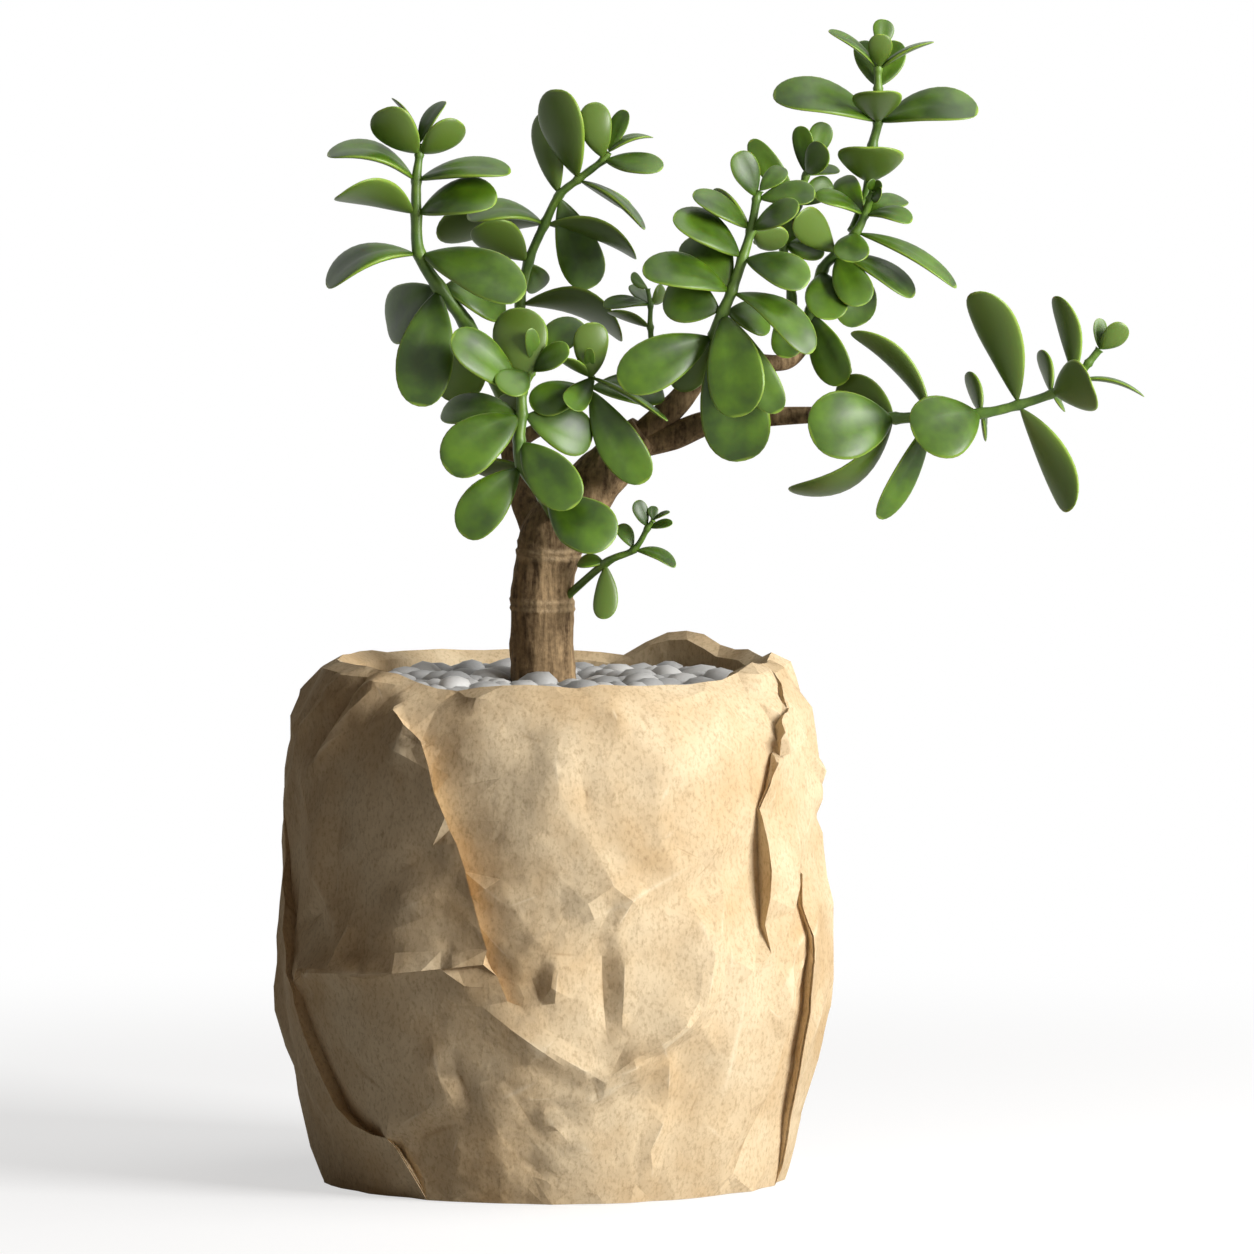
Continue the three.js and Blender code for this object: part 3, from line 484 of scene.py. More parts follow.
@dataclass
class Limb:
    """A smooth tapered limb through given points.

    Attributes:
        points: Centres in millimetres, from the foot outwards.
        radii: One radius in millimetres for each point.
        cap: Share of the way that each closed end takes.
    """

    points: list[Vector]
    radii: list[float]
    cap: float = 0.02

    def at(self, share: float) -> tuple[Vector, Vector, float]:
        """Follows a smooth curve through the points.

        Args:
            share: Share of the way from the foot to the end.

        Returns:
            The centre, direction and radius there.
        """
        last = len(self.points) - 1
        spot = min(max(share, 0.0), 1.0) * last
        index = min(int(spot), last - 1)
        part = spot - index
        before = self.points[max(index - 1, 0)]
        start, end = self.points[index], self.points[index + 1]
        after = self.points[min(index + 2, last)]
        lean_in, lean_out = (end - before) / 2, (after - start) / 2
        square, cube = part * part, part ** 3
        centre = (start * (2 * cube - 3 * square + 1) + lean_in * (cube - 2 * square + part)
                  + end * (3 * square - 2 * cube) + lean_out * (cube - square))
        way = (start * (6 * square - 6 * part) + lean_in * (3 * square - 4 * part + 1)
               + end * (6 * part - 6 * square) + lean_out * (3 * square - 2 * part)).normalized()
        radius = self.radii[index] + (self.radii[index + 1] - self.radii[index]) * part
        return centre, way, radius

    def place(self, share: float, angle: float, swell: Callable[[float, float, Vector], float]) -> Vector:
        """A point of the limb's skin, in metres.

        Args:
            share: Share of the way from the foot to the end.
            angle: Angle around the limb.
            swell: Millimetres to add to the radius at that share, angle and centre.

        Returns:
            The point.
        """
        inner = min(max((share - self.cap) / (1 - 2 * self.cap), 0.0), 1.0)
        centre, way, radius = self.at(inner)
        side = way.cross(OFF_LIMBS).normalized()
        front = side.cross(way)
        round_off = 0.0 if share in (0.0, 1.0) else 1.0
        out = (side * math.cos(angle) + front * math.sin(angle)) * (radius + swell(inner, angle, centre))
        return (centre + out * round_off) * MM


@dataclass(frozen=True)
class BladeForm:
    """Proportions of a jade leaf, as shares of its length or width.

    Attributes:
        neck: How slowly the blade widens from its stalk.
        tip: How bluntly it ends.
        thickness: Thickest place, as a share of the width.
        flesh: What even the narrowest leaf adds to that, in millimetres.
        lens: How sharp the edge is, where 1 is an ellipse.
        cup: How far the edges stand above the midline.
        groove: Depth and width of the midrib's groove, as shares of the thickness and the width.
        upper: Fullness of the upper side against the underside.
        heel: Thickness beside the stalk, and how much of it is gone at the tip.
        narrow: Width in millimetres below which a leaf has less flesh.
        sway: Greatest sideways bend, as a share of the length.
        twist: Greatest twist in radians, and the share of the length where it is nil.
        ripple: Unevenness of the outline, and how often it repeats along the leaf.
        rim_edge: Sharpness of the pale rim.
        rim_tip: Share of the length from which the tip is pale.
        rim_fade: How quickly the rim sets in behind the stalk.
        under: How far round the edge the underside's colour starts.
        faces: Faces around the leaf and along it.
    """

    neck: float = 0.86
    tip: float = 0.46
    thickness: float = 0.14
    flesh: float = 1.3
    lens: float = 0.9
    cup: float = 0.07
    groove: tuple[float, float] = (0.3, 0.16)
    upper: float = 0.8
    heel: tuple[float, float] = (1.15, 0.35)
    narrow: float = 12.0
    sway: float = 0.04
    twist: tuple[float, float] = (0.22, 0.3)
    ripple: tuple[float, float] = (0.05, 3.0)
    rim_edge: int = 36
    rim_tip: float = 0.97
    rim_fade: float = 5.0
    under: float = -0.05
    faces: tuple[int, int] = (22, 18)

    def half_width(self, share: float) -> float:
        """Half the width at a share of the length, where the widest place is 1."""
        peak = self.neck / (self.neck + self.tip)
        top = peak ** self.neck * (1 - peak) ** self.tip
        return share ** self.neck * (1 - share) ** self.tip / top

    def half_thickness(self, share: float) -> float:
        """Half the thickness at a share of the length, where the thickest place is 1."""
        return (share ** 0.5) * ((1 - share) ** 0.5) * 2 * (self.heel[0] - self.heel[1] * share)


@dataclass
class Shoot:
    """A green stem and its leaves.

    Attributes:
        name: The CAD node it stands for.
        stem: Points of the stem in millimetres, from the wood outwards.
        girth: Radius of the stem at its start and at its tip.
        leaves: For each leaf the stem point, the tip's offset right, back and up, the width, the roll
            about its own length in degrees, and how far it arches as a share of its length.
        fork: A second stem that grows out of this one.
        seat_share: How deep leaves sit in the stem, as a share of its radius.
        joint: Swelling of the stem where its leaves sit, and its reach as a share of a span.
        lumps: Unevenness of the stem, and how often it repeats in a millimetre.
        faces: Faces around the stem and along each of its spans.
        form: Proportions of the leaves.
    """

    name: str
    stem: list[Point]
    girth: tuple[float, float]
    leaves: list[Leaf]
    fork: "Shoot | None" = None
    seat_share: float = 0.6
    joint: tuple[float, float] = (0.45, 0.12)
    lumps: tuple[float, float] = (0.12, 0.3)
    faces: tuple[int, int] = (12, 8)
    form: BladeForm = field(default_factory=BladeForm)

    def radii(self) -> list[float]:
        """Radius of the stem at each of its points."""
        last = len(self.stem) - 1
        start, end = self.girth
        return [start + (end - start) * step / last for step in range(last + 1)]

    def add_stem(self, bm: BMesh) -> None:
        """Adds the stem, swollen a little where its leaves sit.

        Args:
            bm: The mesh to add to.
        """
        limb = Limb([deepened(point) for point in self.stem], self.radii())
        last = len(self.stem) - 1

        def swell(share: float, angle: float, centre: Vector) -> float:
            """Swelling of the stem at its joints."""
            away = abs(share * last - round(share * last))
            return (self.joint[0] * math.exp(-(away / self.joint[1]) ** 2)
                    + self.lumps[0] * noise.noise(centre * self.lumps[1]))

        around, along = self.faces
        reshaped_ball(bm, around, last * along, lambda s, a: limb.place(s, a, swell), 1)

    def add_leaf(self, bm: BMesh, leaf: Leaf, number: int) -> None:
        """Adds one fleshy leaf.

        Args:
            bm: The mesh to add to.
            leaf: Its row in the list of leaves.
            number: A number that sets its small irregularities.
        """
        form = self.form
        index, right, back, up, width, turn, bow = leaf
        start = deepened(self.stem[index])
        reach = Vector((right, back * PLANT_DEPTH, up))
        way = reach.normalized()
        flat = math.hypot(way.x, way.y)
        face = Vector((-way.x / flat * way.z, -way.y / flat * way.z, flat))
        face = Matrix.Rotation(math.radians(turn), 3, way) @ face
        side = face.cross(way)
        seat = 0.0 if index == len(self.stem) - 1 else self.seat_share * self.radii()[index]
        base = start + way * seat
        length = reach.length - seat
        chance = random.Random(number)
        flesh = form.flesh * min(1.0, width / form.narrow)
        sway = chance.uniform(-form.sway, form.sway)
        twist = chance.uniform(-form.twist[0], form.twist[0])
        ripple = chance.uniform(0.0, 100.0)
        marks: list[tuple[float, float]] = []

        def place(share: float, angle: float) -> Vector:
            """Place of a point of the blade."""
            t = 0.5 - 0.5 * math.cos(math.pi * share)
            wide = math.cos(angle)
            deep = math.sin(angle)
            half = form.half_width(t) * width / 2
            half *= 1 + form.ripple[0] * noise.noise(Vector((t * form.ripple[1], wide, ripple)))
            thick = form.half_thickness(t) * (form.thickness * width + flesh) / 2
            lens = math.copysign(abs(deep) ** form.lens, deep) * thick
            if deep > 0:
                depth, spread = form.groove
                lens *= form.upper
                lens -= thick * depth * math.exp(-(wide / spread) ** 2) * math.sin(math.pi * t)
            across = wide * half
            lift = lens + form.cup * half * wide * wide + 4 * bow * length * t * (1 - t)
            roll = Matrix.Rotation(twist * (t - form.twist[1]), 3, way)
            offset = roll @ (side * (across + sway * length * math.sin(math.pi * t)) + face * lift)
            marks.append((t, angle))
            return (base + way * (t * length) + offset) * MM

        verts = reshaped_ball(bm, *form.faces, place)
        rim = bm.verts.layers.float["rim"]
        under = bm.verts.layers.float["under"]
        for vert, (t, angle) in zip(verts, marks):
            near_tip = max(0.0, (t - form.rim_tip) / (1 - form.rim_tip))
            edge = max(abs(math.cos(angle)) ** form.rim_edge, near_tip)
            vert[rim] = min(1.0, edge) * min(1.0, t * form.rim_fade)
            vert[under] = 1.0 if math.sin(angle) < form.under else 0.0

    def fill(self, bm: BMesh) -> None:
        """Adds the stem, its leaves and its fork.

        Args:
            bm: The mesh to add to.
        """
        self.add_stem(bm)
        for number, leaf in enumerate(self.leaves):
            self.add_leaf(bm, leaf, number + len(self.name) * LEAF_SEED_STEP)
        if self.fork:
            self.fork.fill(bm)

    def build(self, leaf: Material, stem: Material) -> bpy.types.Object:
        """Builds the shoot as one piece.

        Args:
            leaf: The leaves' material.
            stem: The stem's material.

        Returns:
            The piece.
        """
        bm = bmesh.new()
        bm.verts.layers.float.new("rim")
        bm.verts.layers.float.new("under")
        self.fill(bm)
        return finish_piece(bm, f"{self.name}_green", [leaf, stem], [self.name])


SHOOTS = [
    Shoot("left_crown_shoot",
          [(-16, 16, 277), (-31, 2, 308), (-41, -3, 322), (-48, -2, 334), (-49, 0, 348), (-49, 2, 360),
           (-48, 3, 369), (-48, 3, 373)],
          (2.9, 1.2),
          [(6, -13, -8, 17, 17, 30, -0.05), (6, 15, -3, 12, 15, -40, -0.05), (7, -10, 4, 16, 8, 30, 0.1),
           (7, 9, 5, 15, 8, 10, 0.1), (5, -32, -4, 9, 20, -20, 0.17), (5, 34, -3, 3, 19, 20, 0.1),
           (4, -27, -15, 8, 19, 30, 0.12), (4, 29, -7, 5, 21, 40, 0.12), (3, -33, -4, -12, 20, -20, 0.17),
           (3, 37, -17, -15, 21, 40, 0.06), (2, -7, -12, -42, 21, -30, 0.06),
           (2, -19, 15, -15, 22, -80, 0.05), (2, 24, 12, -8, 19, 60, 0.1), (1, -4, 9, -29, 19, 20, 0.05)]),
    Shoot("left_rear_shoot",
          [(-15, 18, 268), (-12, 23, 281), (-12, 23, 299), (-12, 23, 314), (-9, 23, 329), (-3, 22, 343),
           (2, 21, 353), (9, 20, 359), (18, 19, 366), (20, 19, 369)],
          (2.1, 1.2),
          [(7, -8, -7, 33, 20, 0, -0.05), (6, -6, 5, 30, 13, 110, -0.05), (8, -4, -2, 21, 12, 60, -0.12),
           (8, 21, -8, -3, 14, 30, 0.05), (9, 6, 2, 15, 7, 50, -0.05), (9, 16, 3, 5, 9, 10, 0.15),
           (7, 24, -3, -18, 14, 0, 0.1), (7, 19, 7, -12, 10, -10, 0.03), (5, -28, -5, 2, 19, -20, 0.15),
           (5, 33, -6, -12, 20, -30, 0.14), (5, -39, 9, -6, 21, 40, 0.15), (6, 12, 10, -34, 17, 120, 0.05),
           (4, -18, -10, 14, 17, 40, 0.05), (4, 4, 9, -11, 10, 140, 0.05),
           (3, 37, -8, -12, 20, -40, 0.18)]),
    Shoot("front_left_shoot",
          [(1, 3, 238), (-3, -11, 247), (-11, -14, 259), (-12, -14, 268), (-11, -13, 277), (-11, -12, 285),
           (-8, -12, 292), (-7, -12, 294)],
          (2.5, 1.6),
          [(4, -27, -10, -19, 20, -60, 0.05), (4, 25, 5, -10, 18, 70, 0.06), (4, -29, 8, 0, 16, -40, 0.1),
           (3, 20, -10, -23, 18, 60, 0.06), (2, -21, -6, -25, 17, -70, 0.05),
           (2, -16, 10, -4, 14, 30, 0.05), (5, -25, -10, 21, 17, -70, 0.05), (5, -2, 3, 30, 20, 150, -0.06),
           (6, -10, -10, -6, 13, -40, 0.03), (5, -6, 9, -9, 10, 40, 0.03), (6, 14, -5, 9, 11, 60, 0.08),
           (6, 18, 6, 18, 14, 40, 0.05), (7, -1, -3, 14, 6, -140, 0), (1, 24, -8, -16, 21, 60, 0.06)]),
    Shoot("centre_rosette",
          [(2, 10, 270), (9, 2, 279), (13, -6, 286), (14, -9, 290)],
          (1.7, 1.2),
          [(3, 0, -3, 20, 13, 10, -0.1), (3, -1, -6, 11, 4, -170, 0), (3, -8, -10, -10, 10, -40, -0.08),
           (3, -11, -4, 7, 8, 20, 0.05), (2, -21, -6, -6, 14, -50, 0.06), (2, 27, 7, -3, 15, 50, 0.06),
           (3, 27, -8, -15, 11, -10, 0.04), (2, 20, -2, -34, 16, 80, 0.05)]),
    Shoot("small_upright_shoot",
          [(49, 1, 284), (37, 3, 298), (35, 2, 307), (35, 2, 315), (34, 2, 321)],
          (1.1, 0.8),
          [(2, -15, -4, 6, 9, 20, 0.06), (3, -17, -2, 0, 8, -30, 0.1), (3, -7, 4, 7, 6, -20, -0.05),
           (3, 5, 3, 6, 8, -70, -0.05), (4, -6, -2, 5, 6, -50, -0.05)]),
    Shoot("middle_front_shoot",
          [(56, -1, 293), (58, -10, 305), (61, -13, 314), (64, -13, 321), (68, -12, 333), (71, -11, 343),
           (73, -10, 354), (74, -10, 357)],
          (2.4, 1.3),
          [(6, -7, -3, 17, 11, -90, 0.03), (7, 9, 4, 8, 8, 40, 0.05), (5, -21, -3, 13, 13, -40, 0.08),
           (5, 17, -9, 8, 14, 50, 0.08), (6, 21, -2, 2, 11, 50, 0.06), (5, -14, 9, 12, 13, 50, 0.06),
           (4, -25, -4, 15, 17, -50, 0.08), (4, 23, -8, -9, 16, 40, 0.1), (3, -32, -7, 8, 17, -50, 0.1),
           (3, 29, -9, -21, 15, 30, 0.15), (3, -15, 7, 19, 19, -50, 0.05), (5, 12, 6, -6, 12, -50, 0.05),
           (2, -21, 3, 6, 18, -70, 0.05), (2, 17, 6, -5, 14, 60, 0.05), (2, 6, -10, -37, 21, 30, 0.07),
           (2, 20, -3, -36, 14, 70, 0.06), (1, -34, -10, -17, 19, -70, 0.05), (1, 11, 1, -45, 25, 90, 0.06),
           (1, -14, 8, -20, 13, 50, 0.05)]),
    Shoot("right_crown_shoot",
          [(90, 12, 299), (93, 12, 312), (97, 10, 327), (102, 8, 333), (109, 7, 341), (112, 7, 347),
           (114, 6, 353), (115, 5, 356)],
          (2.3, 1.2),
          [(2, 2, -13, -17, 16, 0, 0.05), (3, 9, 3, -26, 18, 90, 0.04), (3, 9, -9, -18, 14, 30, 0.04),
           (3, 28, -2, -15, 13, 30, 0.1), (1, 11, -7, -26, 14, 70, 0.06), (1, 14, 2, -23, 9, 140, 0.06),
           (4, -3, -12, -10, 13, -10, 0.03), (4, 36, -4, -20, 12, 20, 0.1), (5, -18, -5, 7, 12, -30, 0.1),
           (5, 17, -4, -2, 11, 20, 0.12), (5, -8, 10, 13, 10, -40, 0.08), (5, 15, 9, 5, 10, 30, 0.08),
           (6, 4, -5, 2, 6, 70, 0), (3, -14, -11, 15, 13, 70, 0.06), (7, -1, -2, 4, 4, -130, 0),
           (7, 3, -2, 3, 4, 90, 0)],
          Shoot("right_crown_fork",
                [(108, 8, 341), (114, 14, 358), (115, 15, 371), (117, 15, 380), (117, 14, 392),
                 (117, 14, 399), (118, 14, 406), (119, 14, 409)],
                (1.9, 1.2),
                [(6, 1, 2, 11, 8, 30, -0.05), (5, 1, -5, 13, 9, -10, -0.05), (5, -18, -2, 14, 9, -20, 0.1),
                 (5, 20, -3, 10, 10, 10, 0.08), (4, -6, 6, 17, 10, -30, -0.05),
                 (4, 7, 6, 17, 10, 30, -0.05), (3, -38, -5, 10, 19, -40, 0.13),
                 (3, 36, -6, 4, 19, 40, 0.12), (3, 0, -15, 12, 18, 0, 0.04),
                 (1, -1, -15, 14, 24, 0, 0.04)])),
    Shoot("inner_right_shoot",
          [(84, 10, 294), (86, 12, 316), (83, 10, 336), (88, 11, 350), (91, 11, 361), (93, 11, 366)],
          (1.8, 1.1),
          [(3, -17, -2, 24, 9, -100, 0.12), (3, 12, 3, 9, 9, 80, 0.04), (4, -2, -2, 18, 8, -160, -0.05),
           (4, 7, -7, 11, 11, 100, 0.05), (5, 5, 1, 14, 9, 90, -0.03), (4, 12, 5, 2, 6, 30, 0.04),
           (2, 0, -10, 11, 13, 180, 0.04), (2, 11, 3, 3, 9, 20, 0.05), (2, 14, -4, -4, 11, 30, 0.05),
           (2, -11, -3, 1, 5, -40, 0.1), (1, -3, -11, -20, 13, -20, 0.06)]),
    Shoot("right_arm_shoot",
          [(113, -5, 276), (123, -6, 275), (136, -7, 276), (154, -8, 277), (167, -8, 280), (179, -8, 284),
           (187, -8, 289), (192, -8, 295), (196, -8, 300)],
          (2.1, 1.3),
          [(1, -31, -13, -5, 26, -70, 0.07), (1, -21, 14, 10, 16, 100, 0.06),
           (1, -38, 8, -27, 13, 35, -0.2), (2, -29, 0, 30, 13, 40, 0.15), (3, -25, -10, -7, 25, -60, 0.05),
           (3, -6, 7, 13, 12, 80, 0.08), (2, -19, -1, -37, 13, -130, 0.06), (3, 1, 9, -8, 10, 90, 0.04),
           (4, -16, -5, 41, 18, 35, 0.14), (4, 18, -4, -38, 16, -65, 0.14), (5, -5, 7, 14, 12, 80, 0.08),
           (5, 14, -14, 4, 20, -70, 0.05), (6, -7, 1, 30, 12, 55, 0.1), (6, 25, -2, -6, 9, 0, 0.12),
           (8, 0, 1, 11, 6, 30, -0.04), (8, 9, -2, 9, 9, -60, -0.04), (5, 4, 9, -5, 8, 70, 0.04)]),
    Shoot("low_side_shoot",
          [(3, 4, 208), (19, -6, 223), (29, -9, 228), (34, -11, 236), (36, -12, 239)],
          (1.5, 0.8),
          [(1, -1, -3, -20, 9, 170, 0.04), (1, -10, 3, 0, 9, -30, 0.05), (2, 15, -2, -6, 8, 30, 0.15),
           (2, -5, 2, 9, 6, -40, 0.05), (3, -4, -1, 10, 6, -80, 0.04), (3, 9, -1, 2, 5, 40, 0.06),
           (4, 0, 1, 5, 4, 10, 0), (4, 6, 0, 3, 4, 20, 0.08)]),
]


@dataclass(frozen=True)
class BarkRelief:
    """One size of relief on the skin of a limb.

    Attributes:
        around: How often it repeats around the limb, against its fineness.
        along: How often it repeats along the limb, against its fineness.
        fineness: How fine it is as a whole.
        depth: Its depth in millimetres.
    """

    around: float
    along: float
    fineness: float
    depth: float

    def at(self, angle: float, height: float) -> float:
        """Depth of the relief at an angle and a height, in millimetres."""
        spot = Vector((math.cos(angle) * self.around, math.sin(angle) * self.around, height * self.along))
        return noise.noise(spot * self.fineness) * self.depth


@dataclass
class WoodyTrunk:
    """The woody trunk and its branches, as one piece of corky bark.

    Attributes:
        limbs: For each limb its points as right, back, up and radius, in millimetres.
        scars: Heights of the leaf-scar rings on the trunk.
        ring: How far a ring stands out, and half its height.
        scar_reach: How far to the right the rings go, which keeps them off the branches.
        furrows: The upright furrows.
        lumps: The corky lumps.
        branch_relief: Relief of the branches against that of the trunk.
        faces: Faces around the trunk, around a branch, and along each span.
    """

    limbs: dict[str, list[tuple[float, float, float, float]]] = field(default_factory=lambda: {
        "trunk": [(-3, 6, 150, 13), (-3, 6, 172, 12), (-4, 6, 190, 11.3), (-4, 6, 208, 11.3),
                  (-3, 6, 219, 11), (0, 6, 231, 11.9), (8, 5, 242, 11.2), (16, 4, 252, 9.7),
                  (25, 3, 262, 8.6), (33, 2, 269, 7.4)],
        "upper_branch": [(30, 3, 266, 5.6), (43, 1, 278, 4.7), (49, 1, 285, 4.1), (55, -1, 293, 3.4),
                         (64, 3, 296, 3.2), (74, 8, 294, 3.1), (84, 10, 294, 2.9), (90, 12, 299, 2.5)],
        "lower_branch": [(28, 3, 264, 5), (43, 1, 268, 5.2), (56, -1, 273, 4.4), (74, -3, 275, 3.6),
                         (95, -4, 276, 2.9), (113, -5, 276, 2.2)],
        "left_branch": [(-1, 7, 220, 6.5), (-7, 10, 235, 5.4), (-11, 13, 245, 4.9), (-14, 15, 256, 4.3),
                        (-16, 16, 267, 3.8), (-16, 16, 277, 3.2)],
        "hook_branch": [(-15, 15, 262, 2.9), (-9, 15, 267, 2.9), (-3, 13, 270, 2.5), (3, 10, 271, 2)],
    })
    scars: tuple[float, ...] = (205.5, 208.0, 224.0, 226.5)
    ring: tuple[float, float] = (0.65, 0.8)
    scar_reach: float = 12.0
    furrows: BarkRelief = BarkRelief(1.7, 0.025, 2.2, 0.5)
    lumps: BarkRelief = BarkRelief(1.0, 0.16, 1.4, 0.6)
    branch_relief: float = 0.35
    faces: tuple[int, int, int] = (56, 24, 14)

    def near_scar(self, height: float, scar: float) -> float:
        """How near a height is to a scar ring, where 1 is on its crest."""
        return math.exp(-((height - scar) / self.ring[1]) ** 2)

    def swell(self, share: float, angle: float, centre: Vector) -> float:
        """Furrows, corky lumps and leaf-scar rings of the bark, in millimetres."""
        relief = self.furrows.at(angle, centre.z) + self.lumps.at(angle, centre.z)
        rings = sum(self.ring[0] * self.near_scar(centre.z, scar) for scar in self.scars)
        return relief + (rings if centre.x < self.scar_reach else 0.0)

    def build(self, bark: Material) -> bpy.types.Object:
        """Builds the trunk with its branches.

        Args:
            bark: Its material.

        Returns:
            The piece.
        """
        bm = bmesh.new()
        mark = bm.verts.layers.float.new("scar")
        for name, points in self.limbs.items():
            limb = Limb([deepened(point) for point in points], [point[3] for point in points])
            is_trunk = name == "trunk"
            scale = 1.0 if is_trunk else self.branch_relief

            def skin(share: float, angle: float, limb: Limb = limb, scale: float = scale) -> Vector:
                """Place of a point of the bark."""
                return limb.place(share, angle, lambda s, a, c: self.swell(s, a, c) * scale)

            around = self.faces[0] if is_trunk else self.faces[1]
            for vert in reshaped_ball(bm, around, len(points) * self.faces[2], skin):
                if vert.co.x < self.scar_reach * MM:
                    vert[mark] = max(self.near_scar(vert.co.z / MM, scar) for scar in self.scars)
        return finish_piece(bm, "trunk_bark", [bark], ["trunk"])


@dataclass
class PebbleDressing:
    """Tumbled pebbles heaped loosely on the soil inside the rim, in millimetres.

    Attributes:
        reach: Radius that the pebbles stay within.
        floor: Height of the lowest pebbles' middles.
        pitch: Distance between pebbles in a row.
        row_step: Distance between rows as a share of the pitch, as in a close packing.
        layers: How many layers there are.
        layer_rise: Height of one layer above the last.
        jitter: How far a pebble strays sideways, and how far up or down.
        size: Least and greatest width of a pebble.
        squash: Least and greatest height of a pebble, as a share of its width.
        plan: Length and breadth of a pebble, as shares of its width.
        greys: Darkest and palest shade of a pebble.
        lean: How far a pebble leans, in radians.
        lump: Depth of its lumps as a share, how often they repeat across it, and how far they differ
            from those of a pebble one millimetre away.
        trunk: Centre of the trunk and the radius kept clear round it.
        overlap: How far pebbles go into the rim and the trunk, as shares of their width.
        seed: Sets where the pebbles fall.
    """

    reach: float = 69.5
    floor: float = 173.0
    pitch: float = 12.0
    row_step: float = 0.87
    layers: int = 2
    layer_rise: float = 4.6
    jitter: tuple[float, float] = (1.7, 1.2)
    size: tuple[float, float] = (10.0, 17.0)
    squash: tuple[float, float] = (0.62, 0.85)
    plan: tuple[float, float] = (1.12, 0.9)
    greys: tuple[float, float] = (0.15, 0.8)
    lean: float = 0.35
    lump: tuple[float, float, float] = (0.13, 2.1, 0.7)
    trunk: tuple[float, float, float] = (-3.0, 6.0, 13.5)
    overlap: tuple[float, float] = (0.5, 0.3)
    seed: int = 11

    def build(self, stone: Material) -> bpy.types.Object:
        """Builds the pebbles as one piece of separate stones.

        Args:
            stone: Their material.

        Returns:
            The piece.
        """
        chance = random.Random(self.seed)
        bm = bmesh.new()
        shade = bm.verts.layers.float.new("shade")
        aside, aloft = self.jitter
        rows = int(self.reach / (self.pitch * self.row_step)) + 1
        span = range(-rows, rows + 1)
        for layer, row, step in itertools.product(range(self.layers), span, span):
            shift = 0.5 * ((row + layer) % 2)
            x = (step + shift) * self.pitch + chance.uniform(-aside, aside)
            y = row * self.pitch * self.row_step + chance.uniform(-aside, aside)
            width = chance.uniform(*self.size)
            grey = chance.uniform(*self.greys)
            turn = [chance.uniform(0, math.tau) for _ in range(3)]
            squash = chance.uniform(*self.squash)
            z = self.floor + layer * self.layer_rise + chance.uniform(-aloft, aloft)
            in_rim = math.hypot(x, y) > self.reach - width * self.overlap[0]
            from_trunk = math.hypot(x - self.trunk[0], y - self.trunk[1])
            if in_rim or from_trunk < self.trunk[2] + width * self.overlap[1]:
                continue
            spin = (Matrix.Rotation(turn[0], 3, "Z")
                    @ Matrix.Rotation(self.lean * math.sin(turn[1]), 3, "X")
                    @ Matrix.Diagonal((*self.plan, squash)))
            for vert in self.add_stone(bm, Vector((x, y, z)), width, spin):
                vert[shade] = grey
        return finish_piece(bm, "pebble_dressing", [stone], ["pebble_layer"])

    def add_stone(self, bm: BMesh, centre: Vector, width: float,
                  spin: Matrix) -> list[bmesh.types.BMVert]:
        """Adds one pebble.

        Args:
            bm: The mesh to add to.
            centre: Its middle, in millimetres.
            width: Its width in millimetres.
            spin: Its turn and its proportions.

        Returns:
            Its vertices.
        """
        verts = bmesh.ops.create_icosphere(bm, subdivisions=2, radius=width / 2)["verts"]
        depth, repeats, shift = self.lump
        for vert in verts:
            lump = 1 + depth * noise.noise(vert.co / width * repeats + centre * shift)
            vert.co = (centre + spin @ (vert.co * lump)) * MM
        return verts


@dataclass(frozen=True)
class Crease:
    """One sharp crease across the sheet: a ridge or a valley between two flat sides.

    Attributes:
        turn: Where it lies round the wrap, in degrees from +X towards the back.
        height: Its height above the floor.
        slant: Its slope, in degrees from level.
        reach: Half its length.
        width: How far each of its sides spreads.
        lift: How far its crest stands out, or sinks in when negative.
    """

    turn: float
    height: float
    slant: float
    reach: float
    width: float
    lift: float

    def axes(self, radius: float) -> tuple[Vector, Vector, Vector]:
        """Its middle, its direction and the direction across it, on a wall of that radius."""
        turn = math.radians(self.turn)
        slant = math.radians(self.slant)
        level = Vector((-math.sin(turn), math.cos(turn), 0.0))
        middle = Vector((math.cos(turn) * radius, math.sin(turn) * radius, self.height))
        rise = Vector((0.0, 0.0, 1.0))
        way = level * math.cos(slant) + rise * math.sin(slant)
        across = rise * math.cos(slant) - level * math.sin(slant)
        return middle, way, across


class CreaseSize(Enum):
    """Sizes of crease: how many, and the range of reach, of width and of lift, in millimetres."""

    BROAD = (24, (30.0, 60.0), (14.0, 24.0), (1.2, 2.6))
    MIDDLE = (60, (18.0, 42.0), (5.0, 10.0), (0.8, 1.8))
    FINE = (90, (8.0, 20.0), (2.2, 4.5), (0.2, 0.5))


